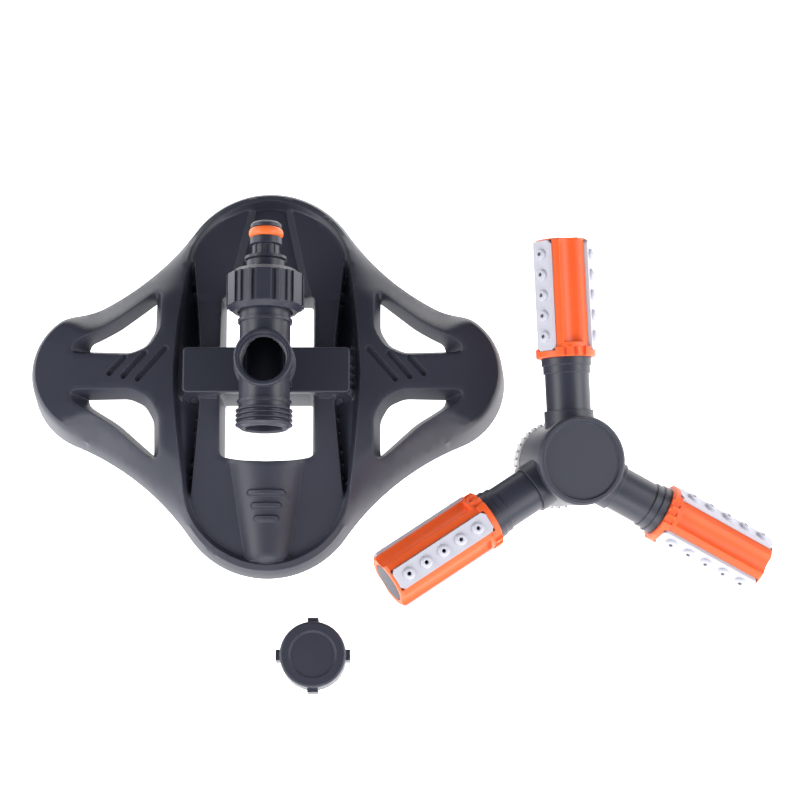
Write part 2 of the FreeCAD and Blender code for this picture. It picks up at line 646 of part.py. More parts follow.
slots = []
for sx in (1, -1):
    for i in range(3):
        lane = body("slot_%d_%d" % (i, sx))
        lane_sketch = sketch_on(lane, "XY_Plane", "slot_outline_%d_%d" % (i, sx))
        half = "slot_short" + "+slot_step" * i
        half_mm = amount(half) / 2
        r = size("slot_w") / 2
        mid_a = lane_sketch.addGeometry(Part.ArcOfCircle(
            Part.Circle(Vector(half_mm, 0, 0), UP, r), -math.pi / 2, math.pi / 2), False)
        mid_b = lane_sketch.addGeometry(Part.ArcOfCircle(
            Part.Circle(Vector(-half_mm, 0, 0), UP, r), math.pi / 2, 3 * math.pi / 2), False)
        line_a = lane_sketch.addGeometry(Part.LineSegment(Vector(half_mm, r, 0), Vector(-half_mm, r, 0)), False)
        line_b = lane_sketch.addGeometry(Part.LineSegment(Vector(-half_mm, -r, 0), Vector(half_mm, -r, 0)), False)
        add = lane_sketch.addConstraint
        add(Sketcher.Constraint("Tangent", mid_a, 2, line_a, 1))
        add(Sketcher.Constraint("Tangent", line_a, 2, mid_b, 1))
        add(Sketcher.Constraint("Tangent", mid_b, 2, line_b, 1))
        add(Sketcher.Constraint("Tangent", line_b, 2, mid_a, 1))
        add(Sketcher.Constraint("PointOnObject", mid_a, 3, -1))
        add(Sketcher.Constraint("Symmetric", mid_a, 3, mid_b, 3, -1, 1))
        wide = add(Sketcher.Constraint("Radius", mid_a, r))
        lane_sketch.setExpression("Constraints[%d]" % wide, "Dims.slot_w / 2")
        apart = add(Sketcher.Constraint("DistanceX", mid_b, 3, mid_a, 3, 2 * half_mm))
        lane_sketch.setExpression("Constraints[%d]" % apart, formula(half))
        pad(lane, lane_sketch, "slot_depth+slot_depth", "slot_pad_%d_%d" % (i, sx))
        at = size("slot_first") - i * size("slot_pitch")
        lane.Placement = Placement(
            Vector(sx * at, 0, size("base_height") - size("slot_depth")),
            Rotation(UP, -sx * size("slot_angle")))
        slots.append(lane)

# The tongue is a half-round hump that narrows towards the front edge, with three cross bars.
tongue = body("base_tongue")
turned(tongue, "YZ_Plane", [
    ("-tongue_start", "0"),
    ("-tongue_start", "tongue_r_in"),
    ("-tongue_start-tongue_long+tongue_round", "tongue_r_out", "tongue_round+0.6", 1),
    ("-tongue_start-tongue_long", "tongue_r_out-tongue_round"),
    ("-tongue_start-tongue_long", "0"),
], "tongue_turn", "H_Axis")
bind(tongue, "Placement.Base.z", "tongue_axis")
bars = []
for i in range(3):
    bar = body("tongue_bar_%d" % i)
    bar_sketch = sketch_on(bar, "XY_Plane", "bar_outline_%d" % i)
    half = amount("bar_long" + "-bar_step" * i) / 2 - size("bar_w") / 2
    r = size("bar_w") / 2
    at = size("bar_first") + i * size("bar_pitch")
    add = bar_sketch.addConstraint
    arc_a = bar_sketch.addGeometry(Part.ArcOfCircle(
        Part.Circle(Vector(half, -at, 0), UP, r), -math.pi / 2, math.pi / 2), False)
    arc_b = bar_sketch.addGeometry(Part.ArcOfCircle(
        Part.Circle(Vector(-half, -at, 0), UP, r), math.pi / 2, 3 * math.pi / 2), False)
    line_a = bar_sketch.addGeometry(Part.LineSegment(Vector(half, r - at, 0), Vector(-half, r - at, 0)), False)
    line_b = bar_sketch.addGeometry(Part.LineSegment(Vector(-half, -r - at, 0), Vector(half, -r - at, 0)), False)
    add(Sketcher.Constraint("Tangent", arc_a, 2, line_a, 1))
    add(Sketcher.Constraint("Tangent", line_a, 2, arc_b, 1))
    add(Sketcher.Constraint("Tangent", arc_b, 2, line_b, 1))
    add(Sketcher.Constraint("Tangent", line_b, 2, arc_a, 1))
    add(Sketcher.Constraint("Symmetric", arc_a, 3, arc_b, 3, -2))
    wide = add(Sketcher.Constraint("Radius", arc_a, r))
    bar_sketch.setExpression("Constraints[%d]" % wide, "Dims.bar_w / 2")
    apart = add(Sketcher.Constraint("DistanceX", arc_b, 3, arc_a, 3, 2 * half))
    bar_sketch.setExpression("Constraints[%d]" % apart, formula("bar_long" + "-bar_step" * i + "-bar_w"))
    down = add(Sketcher.Constraint("DistanceY", -1, 1, arc_a, 3, -at))
    bar_sketch.setExpression("Constraints[%d]" % down, formula("-bar_first" + "-bar_pitch" * i))
    pad(bar, bar_sketch, "tongue_axis+tongue_r_in", "bar_pad_%d" % i)
    bars.append(bar)
# The bars follow the hump: each is trimmed by a fatter copy of it.
bar_limit = body("bar_limit")
turned(bar_limit, "YZ_Plane", [
    ("-tongue_start", "0"),
    ("-tongue_start", "tongue_r_in+bar_high"),
    ("-tongue_start-tongue_long", "tongue_r_out+bar_high"),
    ("-tongue_start-tongue_long", "0"),
], "bar_limit_turn", "H_Axis")
bind(bar_limit, "Placement.Base.z", "tongue_axis")
grips = common("tongue_grips", [fuse("tongue_bars", bars), bar_limit])
floor_cut = block(
    "under_floor", "rail_x+rail_x", "lobe_y_mid+lobe_y_mid+lobe_y_r+lobe_y_r", "base_height",
    "-rail_x", "-lobe_y_mid-lobe_y_r", "-base_height")
tongue_hollow = body("tongue_hollow")
turned(tongue_hollow, "YZ_Plane", [
    ("-well_y-shell_wall", "0"),
    ("-well_y-shell_wall", "tongue_r_in-shell_wall-shell_wall"),
    ("-tongue_start-tongue_long+shell_wall", "tongue_r_out-shell_wall-shell_wall"),
    ("-tongue_start-tongue_long+shell_wall", "0"),
], "tongue_hollow_turn", "H_Axis")
bind(tongue_hollow, "Placement.Base.z", "tongue_axis")

# Two plain bridges carry the saddle plate across the middle opening.
bridge = block(
    "saddle_bridge", "rail_x+rail_x-shell_wall", "saddle_w-saddle_edge", "shell_wall+shell_wall",
    "-rail_x", "-saddle_w", "base_height-shell_wall-shell_wall")
bridge.setExpression("Placement.Base.x", "-Dims.rail_x + Dims.shell_wall / 2")
bridge.setExpression("Placement.Base.y", "-(Dims.saddle_w - Dims.saddle_edge) / 2")

skin = cut("base_skin", outer, hollow)
framed = fuse("base_framed", [skin, frames])
opened = cut("base_opened", framed, fuse("base_cuts", [windows, dishes, well, bays] + slots))
humped = fuse("base_humped", [opened, tongue, grips])
trimmed = cut("base_trimmed", humped, fuse("base_trims", [floor_cut, tongue_hollow]))
bridged = fuse("base_bridged", [trimmed, bridge])

# The underside carries one screw hole at each end of the saddle bridge.
base_screw_holes = []
for sx in (1, -1):
    hole = cylinder("base_screw_hole_%d" % sx, "screw_r+screw_gap", "base_height+base_height")
    bind(hole, "Placement.Base.x", "screw_x" if sx > 0 else "-screw_x")
    base_screw_holes.append(hole)
    room = block("screw_room_%d" % sx, "screw_room+screw_room", "screw_room+screw_room", "base_height",
                 "screw_x-screw_room" if sx > 0 else "-screw_x-screw_room", "-screw_room",
                 "-shell_wall-shell_wall")
    base_screw_holes.append(room)
base_shell = cut("base_shell_solid", bridged, fuse("base_holes", base_screw_holes))
node("base_shell", base_shell)

# ---------------------------------------------------------------- saddle plate
# A flat charcoal bar under the tee, screwed down from below on the bridge of the base.
saddle = body("saddle_body")
saddle_sketch = sketch_on(saddle, "XY_Plane", "saddle_outline", "base_height")
outline(saddle_sketch, [
    ("saddle_half_x", "-saddle_half_y+saddle_round"),
    ("saddle_half_x", "saddle_half_y-saddle_round", "saddle_round", 1),
    ("saddle_half_x-saddle_round", "saddle_half_y"),
    ("-saddle_half_x+saddle_round", "saddle_half_y", "saddle_round", 1),
    ("-saddle_half_x", "saddle_half_y-saddle_round"),
    ("-saddle_half_x", "-saddle_half_y+saddle_round", "saddle_round", 1),
    ("-saddle_half_x+saddle_round", "-saddle_half_y"),
    ("saddle_half_x-saddle_round", "-saddle_half_y", "saddle_round", 1),
])
saddle_pad = pad(saddle, saddle_sketch, "saddle_thick", "saddle_pad")
doc.recompute()
saddle_top = []
for i, edge in enumerate(saddle_pad.Shape.Edges):
    if edge.BoundBox.ZMin > size("base_height") + size("saddle_thick") - 0.01:
        saddle_top.append("Edge%d" % (i + 1))
saddle_round = saddle.newObject("PartDesign::Fillet", "saddle_top_round")
saddle_round.Base = (saddle_pad, saddle_top)
bind(saddle_round, "Radius", "saddle_edge")
saddle.Tip = saddle_round
saddle_holes = []
for sx in (1, -1):
    hole = cylinder("saddle_hole_%d" % sx, "screw_r", "saddle_thick-saddle_edge")
    bind(hole, "Placement.Base.x", "screw_x" if sx > 0 else "-screw_x")
    bind(hole, "Placement.Base.z", "base_height")
    saddle_holes.append(hole)
saddle_plate = cut("saddle_solid", saddle, fuse("saddle_holes", saddle_holes))
node("saddle_plate", saddle_plate)

# ---------------------------------------------------------------- saddle screws
# Two self-tapping steel screws, driven upwards through the bridge into the saddle plate.
screw = body("screw_master")
turned(screw, "XZ_Plane", [
    ("0", "0"),
    ("screw_head_r-screw_drive_r", "0"),
    ("screw_head_r", "screw_edge"),
    ("screw_head_r", "screw_head"),
    ("screw_r", "screw_head"),
    ("screw_r", "screw_head+screw_long-screw_r"),
    ("0", "screw_head+screw_long"),
], "screw_turn")
drive = body("screw_drive")
drive_sketch = sketch_on(drive, "XY_Plane", "screw_drive_outline")
outline(drive_sketch, [
    ("screw_drive_r", "-screw_edge"),
    ("screw_drive_r", "screw_edge"),
    ("-screw_drive_r", "screw_edge"),
    ("-screw_drive_r", "-screw_edge"),
])
pad(drive, drive_sketch, "screw_head-screw_edge", "screw_drive_pad")
screw_solid = cut("screw_solid", screw, drive)
screw_z = size("base_height") - 2 * size("shell_wall") - size("screw_head")
saddle_screws = copies("saddle_screws_pair", screw_solid, [
    Placement(Vector(sx * size("screw_x"), 0, screw_z), Rotation()) for sx in (1, -1)])
node("saddle_screws", saddle_screws)

# ---------------------------------------------------------------- tee
# A charcoal tee: a through tube with a hose thread at each end and an upright threaded socket.
# Its own frame has the tube's axis along Y through the origin.
tee = body("tee_master")
turned(tee, "YZ_Plane", [
    ("-outlet_end", "0"),
    ("-outlet_end", "hose_root-tip_bevel"),
] + ridges("-outlet_end+tip_bevel", 4, "hose_pitch", "hose_crest", "hose_root", "hose_flat", True, True) + [
    ("-outlet_thread", "hose_root"),
    ("-outlet_thread", "ring_r"),
    ("-outlet_thread+ring_w", "ring_r"),
    ("-outlet_thread+ring_w", "tube_r"),
    ("inlet_ring-ring_w", "tube_r"),
    ("inlet_ring-ring_w", "ring_r"),
    ("inlet_ring", "ring_r"),
    ("inlet_ring", "hose_root"),
] + ridges("inlet_thread", 4, "hose_pitch", "inlet_crest", "hose_root", "hose_flat", True, True) + [
    ("inlet_end", "hose_root"),
    ("inlet_end", "0"),
], "tee_tube", "H_Axis")
turned(tee, "XZ_Plane", [
    ("0", "-collar_drop"),
    ("socket_low_r", "-collar_drop"),
    ("socket_low_r", "socket_rise-socket_depth+tip_bevel"),
    ("socket_r-edge_fine", "socket_rise-socket_depth+tip_bevel+tip_bevel+tip_bevel"),
    ("socket_r-edge_fine", "socket_rise-tip_bevel-tip_bevel-tip_bevel"),
    ("socket_r", "socket_rise-tip_bevel-tip_bevel-tip_bevel"),
    ("socket_r", "socket_rise-edge_fine"),
    ("socket_r-edge_fine", "socket_rise"),
    ("0", "socket_rise"),
], "tee_socket")
turned(tee, "YZ_Plane", [
    ("-outlet_end", "0"),
    ("-outlet_end", "tube_bore+edge_fine"),
    ("-outlet_end+edge_fine", "tube_bore"),
    ("inlet_end", "tube_bore"),
    ("inlet_end", "0"),
], "tee_bore", "H_Axis", True)
turned(tee, "XZ_Plane", [
    ("0", "0"),
    ("socket_floor_r", "0"),
    ("socket_floor_r", "socket_rise-socket_depth"),
    ("socket_deep_r", "socket_rise-socket_depth"),
] + ridges("socket_rise-socket_depth+tip_bevel", 5, "socket_pitch", "socket_bore", "socket_deep_r",
           "socket_flat", True) + [
    ("socket_deep_r", "socket_rise-tip_bevel"),
    ("socket_mouth_r", "socket_rise"),
    ("0", "socket_rise"),
], "tee_socket_bore", "V_Axis", True)
# A flat foot under the tube seats the tee on the saddle plate.
foot = block(
    "tee_foot", "foot_long", "saddle_w-saddle_round-saddle_round", "tube_r-tube_bore+tube_over",
    "-foot_half", "-saddle_half_y+saddle_round", "-tube_drop")
tee_shape = fuse("tee_with_foot", [tee, foot])
tube_axis = Placement(Vector(0, 0, size("tube_height")), Rotation())
node("tee_body", tee_shape, tube_axis)

# ---------------------------------------------------------------- inlet nipple
# A quick-connect hose nipple with a flange that the inlet nut pulls against the tee. Axis along Y.
nipple = body("nipple_master")
turned(nipple, "YZ_Plane", [
    ("inlet_end+washer_w", "nipple_bore"),
    ("inlet_end+washer_w", "flange_r"),
    ("inlet_end+washer_w+flange_w", "flange_r"),
    ("inlet_end+washer_w+flange_w", "nipple_shoulder_r"),
    ("nipple_shoulder_end-edge_fine", "nipple_shoulder_r"),
    ("nipple_shoulder_end", "nipple_shoulder_r-edge_fine"),
    ("nipple_shoulder_end", "nipple_disc_r"),
    ("nipple_disc_end", "nipple_disc_r"),
    ("nipple_disc_end", "neck_r"),
    ("neck_end", "neck_r"),
    ("neck_end+edge_fine", "band_r"),
    ("band_end", "band_r"),
    ("band_end", "seal_floor_r"),
    ("seal_end", "seal_floor_r"),
    ("seal_end", "tip_r"),
    ("tip_end-tip_bevel", "tip_r"),
    ("tip_end", "tip_r-tip_bevel"),
    ("tip_end", "nipple_bore"),
], "nipple_turn", "H_Axis")
neck_ribs = []
for i in range(8):
    rib = block("neck_rib_%d" % i, "tip_bevel", "neck_end-nipple_disc_end", "neck_r+neck_rib-nipple_bore-0.5",
                "-edge_fine", "nipple_disc_end", "nipple_bore+0.5")
    rib_turn = doc.addObject("App::Link", "neck_rib_turn_%d" % i)
    rib_turn.LinkedObject = rib
    rib_turn.LinkTransform = True
    rib_turn.Placement = turn(ACROSS, 45 * i)
    neck_ribs.append(rib_turn)
nipple_ribs = doc.addObject("Part::Compound", "neck_ribs")
nipple_ribs.Links = neck_ribs
nipple_solid = fuse("nipple_solid", [nipple, nipple_ribs])
node("inlet_nipple", nipple_solid, tube_axis)

# ---------------------------------------------------------------- inlet washer
# A flat black rubber washer between the tee's inlet face and the nipple's flange.
inlet_washer = body("washer_master")
turned(inlet_washer, "YZ_Plane", [
    ("inlet_end", "tube_bore"),
    ("inlet_end", "hose_root"),
    ("inlet_end+washer_w", "hose_root"),
    ("inlet_end+washer_w", "tube_bore"),
], "washer_turn", "H_Axis")
node("inlet_washer", inlet_washer, tube_axis)

# ---------------------------------------------------------------- nipple seal ring
# An orange rubber ring in the nipple's groove. It seals inside the hose connector.
seal_ring = body("seal_master")
turned(seal_ring, "YZ_Plane", [
    ("band_end+seal_slack", "seal_floor_r"),
    ("seal_end-seal_slack", "seal_floor_r"),
    ("seal_end-seal_slack", "tip_r-seal_sink", "seal_bulge_r", 1),
    ("band_end+seal_slack", "tip_r-seal_sink"),
], "seal_turn", "H_Axis")
node("nipple_seal", seal_ring, tube_axis)

# ---------------------------------------------------------------- inlet nut
# A charcoal swivel nut with paired grip ribs. Its end wall turns on the nipple's shoulder.
nut = body("nut_master")
turned(nut, "YZ_Plane", [
    ("nut_start", "inlet_crest+run_gap"),
    ("nut_start", "nut_r-nut_bevel"),
    ("nut_start+nut_bevel", "nut_r"),
    ("nut_end-nut_bevel", "nut_r"),
    ("nut_end", "nut_r-nut_bevel"),
    ("nut_end", "nipple_shoulder_r+run_gap"),
    ("inlet_end+washer_w+flange_w+run_gap", "nipple_shoulder_r+run_gap"),
    ("inlet_end+washer_w+flange_w+run_gap", "inlet_crest+run_gap"),
], "nut_turn", "H_Axis")
nut_parts = [nut]
nut_long = "nut_end-nut_start-nut_bevel-nut_bevel"
for i in range(6):
    for side in (-1, 1):
        name = "nut_rib_%d_%d" % (i, side + 1)
        rib = block(name + "_block", "nut_rib_w", nut_long, "nut_r+nut_rib-hose_crest-nut_bevel",
                    "-edge_fine", "nut_start+nut_bevel", "hose_crest+nut_bevel")
        link = doc.addObject("App::Link", name)
        link.LinkedObject = rib
        link.LinkTransform = True
        link.Placement = turn(ACROSS, 60 * i + 30 + side * size("nut_rib_apart"))
        nut_parts.append(link)
    name = "nut_lobe_%d" % i
    lobe = block(name + "_block", "nut_lobe_w", nut_long, "nut_r+nut_lobe-hose_crest-nut_bevel",
                 "-nut_lobe_half", "nut_start+nut_bevel", "hose_crest+nut_bevel")
    link = doc.addObject("App::Link", name)
    link.LinkedObject = lobe
    link.LinkTransform = True
    link.Placement = turn(ACROSS, 60 * i)
    nut_parts.append(link)
nut_solid = fuse("nut_solid", nut_parts)
node("inlet_nut", nut_solid, tube_axis)

# ---------------------------------------------------------------- rotor layout
# The rotor lies on the floor on the rim of its stem and on the lower strip of its front right head.
strip_face = size("seat_r") + size("strip_thick")
strip_reach = size("head_start") + size("strip_start") + size("strip_long")
dome_face = strip_face + size("dome_high")
dome_reach = (size("head_start") + size("strip_start") + size("jet_first") + 4 * size("jet_pitch")
              + size("dome_r") - size("dome_round"))
on_strip = math.atan2(size("stem_low") - strip_face, strip_reach - size("stem_rim_r"))
on_dome = math.atan2(size("stem_low") - dome_face, dome_reach - size("stem_rim_r"))
lean = math.degrees(min(on_strip, on_dome))
lean_way = math.radians(-30 + size("rotor_turn"))
lean_axis = Vector(-math.sin(lean_way), math.cos(lean_way), 0)
rotor_rise = size("stem_low") * math.cos(math.radians(lean)) + size("stem_rim_r") * math.sin(math.radians(lean))
rotor_place = Placement(
    Vector(size("rotor_x"), size("rotor_y"), rotor_rise),
    Rotation(lean_axis, lean).multiply(Rotation(UP, size("rotor_turn"))))


def ride_rotor(name, thing):
    node(name, thing, rotor_place)


# ---------------------------------------------------------------- stem
# A charcoal spindle: a bearing collar captured in the hub, a neck, and a threaded end for the tee.
stem = body("stem_master")
turned(stem, "XZ_Plane", [
    ("stem_bore", "-stem_low"),
    ("stem_rim_r", "-stem_low"),
    ("stem_root_r", "-stem_low+stem_root_r-stem_rim_r"),
] + ridges("-stem_low+stem_bevel", 4, "socket_pitch", "stem_thread_r", "stem_root_r", "socket_flat", True) + [
    ("stem_root_r", "-ring_low"),
    ("stem_neck_r", "-ring_low"),
    ("stem_neck_r", "-chamber_low-bearing_w"),
    ("stem_collar_r", "-chamber_low-bearing_w"),
    ("stem_collar_r", "-chamber_low-bearing_w+stem_collar_w"),
    ("stem_bore", "-chamber_low-bearing_w+stem_collar_w"),
], "stem_turn")
ride_rotor("stem", copies("stem_placed", stem, [Placement()]))

# ---------------------------------------------------------------- lock ring
# A milky, slightly clear ring with fine teeth. It is pressed on the stem's neck and screws the rotor down.
ring = body("ring_master")
turned(ring, "XZ_Plane", [
    ("stem_neck_r", "-ring_low"),
    ("lock_r-edge_fine", "-ring_low"),
    ("lock_r", "-ring_low+edge_fine"),
    ("lock_r", "-ring_top-edge_fine"),
    ("lock_r-edge_fine", "-ring_top"),
    ("stem_neck_r", "-ring_top"),
], "ring_turn")
tooth_sketch = sketch_on(ring, "XY_Plane", "tooth_outline", "-ring_low+edge_fine")
outline(tooth_sketch, [
    ("lock_r-edge_fine", "-edge_fine"),
    ("lock_r+lock_tooth", "-edge_fine+tooth_slope"),
    ("lock_r+lock_tooth", "edge_fine-tooth_slope"),
    ("lock_r-edge_fine", "edge_fine"),
])
tooth = pad(ring, tooth_sketch, "ring_low-ring_top-edge_fine-edge_fine", "tooth_pad")
doc.recompute()
teeth = ring.newObject("PartDesign::PolarPattern", "teeth")
teeth.Originals = [tooth]
teeth.Axis = (plane(ring, "Z_Axis"), [""])
teeth.Angle = 360
bind(teeth, "Occurrences", "lock_count")
ring.Tip = teeth
ride_rotor("lock_ring", copies("ring_placed", ring, [Placement()]))

# ---------------------------------------------------------------- stem seal
# A flat rubber washer on the root of the stem's thread, under the lock ring.
stem_seal = body("stem_seal_master")
turned(stem_seal, "XZ_Plane", [
    ("stem_thread_r", "-ring_low-stem_seal_w"),
    ("stem_neck_r+stem_seal_over", "-ring_low-stem_seal_w"),
    ("stem_neck_r+stem_seal_over", "-ring_low"),
    ("stem_thread_r", "-ring_low"),
], "stem_seal_turn")
ride_rotor("stem_seal", copies("stem_seal_placed", stem_seal, [Placement()]))

# ---------------------------------------------------------------- bearing washer
# A thin white slip washer between the stem's collar and the floor of the hub's chamber.
bearing = body("bearing_master")
turned(bearing, "XZ_Plane", [
    ("stem_neck_r+run_gap", "-chamber_low-bearing_w"),
    ("stem_collar_r", "-chamber_low-bearing_w"),
    ("stem_collar_r", "-chamber_low-bearing_w-bearing_w"),
    ("stem_neck_r+run_gap", "-chamber_low-bearing_w-bearing_w"),
], "bearing_turn")
ride_rotor("bearing_washer", copies("bearing_placed", bearing, [Placement()]))

# ---------------------------------------------------------------- hub
# A charcoal drum with a water chamber and three bosses for the arms. It turns on the stem's neck.
hub = body("hub_master")
turned(hub, "XZ_Plane", [
    ("stem_neck_r+run_gap", "-hub_low"),
    ("hub_r-tip_bevel", "-hub_low"),
    ("hub_r", "-hub_low+tip_bevel"),
    ("hub_r", "hub_top"),
    ("hub_r-hub_skin", "hub_top"),
    ("hub_r-hub_skin", "-chamber_low-bearing_w-bearing_w"),
    ("stem_neck_r+run_gap", "-chamber_low-bearing_w-bearing_w"),
], "hub_turn")
bosses = []
boss_bores = []
for k in range(3):
    boss = cylinder("boss_%d" % k, "boss_r", "boss_end-hub_r+hub_skin")
    boss_link = copies("boss_turn_%d" % k, boss, [
        turn(UP, 90 - 120 * k).multiply(
            Placement(Vector(size("hub_r") - size("hub_skin"), 0, 0), Rotation(ACROSS, 90)))])
    bosses.append(boss_link)
    bore = cylinder("boss_bore_%d" % k, "arm_spigot_r", "boss_end")
    bore_link = copies("boss_bore_turn_%d" % k, bore, [
        turn(UP, 90 - 120 * k).multiply(Placement(Vector(0, 0, 0), Rotation(ACROSS, 90)))])
    boss_bores.append(bore_link)
hub_chamber = cylinder("hub_chamber", "hub_r-hub_skin", "hub_top+chamber_low+bearing_w+bearing_w")
bind(hub_chamber, "Placement.Base.z", "-chamber_low-bearing_w-bearing_w")
hub_solid = cut("hub_solid", fuse("hub_with_bosses", [hub] + bosses), fuse("hub_bores", [hub_chamber] + boss_bores))
hub_solid.Refine = False
ride_rotor("hub_body", hub_solid)

# ---------------------------------------------------------------- hub cover
# A round charcoal lid with a raised rim. Its plug sits in the mouth of the hub's chamber.
cover = body("cover_master")
turned(cover, "XZ_Plane", [
    ("0", "hub_top-cover_plug"),
    ("hub_r-hub_skin-run_gap", "hub_top-cover_plug"),
    ("hub_r-hub_skin-run_gap", "hub_top"),
    ("cover_r", "hub_top"),
    ("cover_r", "hub_top+cover_thick-tip_bevel"),
    ("cover_r-tip_bevel", "hub_top+cover_thick", ),
    ("cover_dish_r+edge_fine", "hub_top+cover_thick"),
    ("cover_dish_r", "hub_top+cover_thick-cover_dish"),
    ("0", "hub_top+cover_thick-cover_dish"),
], "cover_turn")
ride_rotor("hub_cover", copies("cover_placed", cover, [Placement()]))

# ---------------------------------------------------------------- arms
# Each charcoal arm is a pipe with a spigot in the hub, a collar, and a thin inner pipe inside the head.
arm = body("arm_master")
turned(arm, "XZ_Plane", [
    ("boss_end-arm_spigot", "arm_bore"),
    ("boss_end-arm_spigot", "arm_spigot_r-run_gap"),
    ("boss_end", "arm_spigot_r-run_gap"),
    ("boss_end", "arm_r"),
    ("head_start-arm_collar_w-arm_collar_w", "arm_r"),
    ("head_start-arm_collar_w-arm_collar_w", "arm_collar_r-edge_fine"),
    ("head_start-arm_collar_w-arm_collar_w+edge_fine", "arm_collar_r-edge_fine"),
    ("head_start-arm_collar_w", "arm_r+edge_fine"),
    ("head_start-arm_collar_w", "arm_collar_r"),
    ("head_start", "arm_collar_r"),
    ("head_start", "head_bore-run_gap"),
    ("arm_seal_at-arm_seal_r-0.1", "head_bore-run_gap"),
    ("arm_seal_at-arm_seal_r-0.1", "head_bore-run_gap-arm_seal_r-arm_seal_r+seal_squeeze+seal_squeeze"),
    ("arm_seal_at+arm_seal_r+0.1", "head_bore-run_gap-arm_seal_r-arm_seal_r+seal_squeeze+seal_squeeze"),
    ("arm_seal_at+arm_seal_r+0.1", "head_bore-run_gap"),
    ("head_start+head_long-plug_thick-plug_gap", "head_bore-run_gap"),
    ("head_start+head_long-plug_thick-plug_gap", "plug_r"),
    ("head_start+head_long-plug_thick-plug_long-plug_gap-plug_gap", "plug_r"),
    ("head_start+head_long-plug_thick-plug_long-plug_gap-plug_gap", "arm_inner"),
    ("head_start+strip_start+strip_start", "arm_inner"),
    ("head_start", "arm_inner"),
    ("head_start-arm_collar_w", "arm_bore"),
], "arm_turn", "H_Axis")
feed = block("arm_feed", "feed_long", "feed_w", "arm_r", "feed_start", "-feed_half", "0")
arm_solid = cut("arm_solid", arm, feed)

# ---------------------------------------------------------------- arm seal rings
# A small rubber ring in a groove of the inner pipe keeps water in the head.
arm_seal = doc.addObject("Part::Torus", "arm_seal_master")
bind(arm_seal, "Radius1", "head_bore-run_gap-arm_seal_r+seal_squeeze")
bind(arm_seal, "Radius2", "arm_seal_r-seal_squeeze")
arm_seal.Placement.Rotation = Rotation(ACROSS, 90)
bind(arm_seal, "Placement.Base.x", "arm_seal_at")

# ---------------------------------------------------------------- orange carrier
# The orange core of a head: a bored bar with three flat seats and three hollow valleys between them.
carrier = body("carrier_master")
turned(carrier, "XZ_Plane", [
    ("head_start", "head_bore"),
    ("head_start", "collar_r-edge_fine"),
    ("head_start+edge_fine", "collar_r"),
    ("head_start+collar_w", "collar_r"),
    ("head_start+collar_w", "carrier_r"),
    ("head_start+head_long-tip_bevel", "carrier_r"),
    ("head_start+head_long", "carrier_r-tip_bevel"),
    ("head_start+head_long", "plug_head_r"),
    ("head_start+head_long-plug_thick", "plug_head_r"),
    ("head_start+head_long-plug_thick", "head_bore"),
], "carrier_turn", "H_Axis")
carrier_cuts = []
for k in range(3):
    seat = block("seat_%d" % k, "strip_long+strip_side+strip_side", "strip_w+strip_side+strip_side",
                 "strip_thick+dome_high", "head_start+strip_start-strip_side", "-strip_half-strip_side", "seat_r")
    valley = cylinder("valley_%d" % k, "valley_r", "head_long")
    valley_turn = copies("valley_turn_%d" % k, valley, [
        turn(ALONG, 60).multiply(Placement(
            Vector(size("head_start") + size("valley_start"), 0, size("valley_mid")), Rotation(ACROSS, 90)))])
    mouth = cylinder("scallop_%d" % k, "scallop_r", "collar_w")
    mouth_turn = copies("scallop_turn_%d" % k, mouth, [
        turn(ALONG, 60 + side).multiply(Placement(
            Vector(size("head_start"), 0, size("collar_r")), Rotation(ACROSS, 90))) for side in (-18, 0, 18)])
    slot = block("feed_slot_%d" % k, "feed_long", "feed_w", "seat_r", "feed_start", "-feed_half", "0")
    group = doc.addObject("Part::Compound", "carrier_cut_%d" % k)
    group.Links = [seat, valley_turn, mouth_turn, slot]
    carrier_cuts.append(copies("carrier_cut_turn_%d" % k, group, [turn(ALONG, 120 * k)]))
carrier_solid = carrier
for k in range(3):
    carrier_solid = cut("carrier_step_%d" % k, carrier_solid, carrier_cuts[k])

# ---------------------------------------------------------------- nozzle strips
# A light grey strip with cut corners and five domed nozzles. Three strips sit round each carrier.
strip = body("strip_master")
strip_sketch = sketch_on(strip, "XY_Plane", "strip_outline", "seat_r")
x0 = "head_start+strip_start"
x1 = "head_start+strip_start+strip_long"
outline(strip_sketch, [
    (x0 + "+strip_bevel", "-strip_half"),
    (x1 + "-strip_bevel", "-strip_half"),
    (x1, "-strip_half+strip_bevel"),
    (x1, "strip_half-strip_bevel"),
    (x1 + "-strip_bevel", "strip_half"),
    (x0 + "+strip_bevel", "strip_half"),
    (x0, "strip_half-strip_bevel"),
    (x0, "-strip_half+strip_bevel"),
])
strip_pad = pad(strip, strip_sketch, "strip_thick", "strip_pad")
dome = body("dome_master")
turned(dome, "XZ_Plane", [
    ("0", "0"),
    ("dome_r", "0"),
    ("dome_r", "edge_fine+dome_high-dome_round", "dome_round+0.2", 1),
    ("dome_r-dome_round", "edge_fine+dome_high"),
    ("0", "edge_fine+dome_high"),
], "dome_turn")
jet = cylinder("jet_master", "jet_r", "strip_thick+dome_high+dome_high+dome_high")
bind(jet, "Placement.Base.z", "-strip_thick-dome_high")
strip_top = size("seat_r") + size("strip_thick")
domes = []
jets = []
for i in range(5):
    at = size("head_start") + size("strip_start") + size("jet_first") + i * size("jet_pitch")
    domes.append(Placement(Vector(at, 0, strip_top - size("edge_fine")), Rotation()))
    jets.append(Placement(Vector(at, 0, strip_top), Rotation(ACROSS, 3 * i)))
strip_solid = cut(
    "strip_solid", fuse("strip_domed", [strip, copies("domes", dome, domes)]), copies("jets", jet, jets))

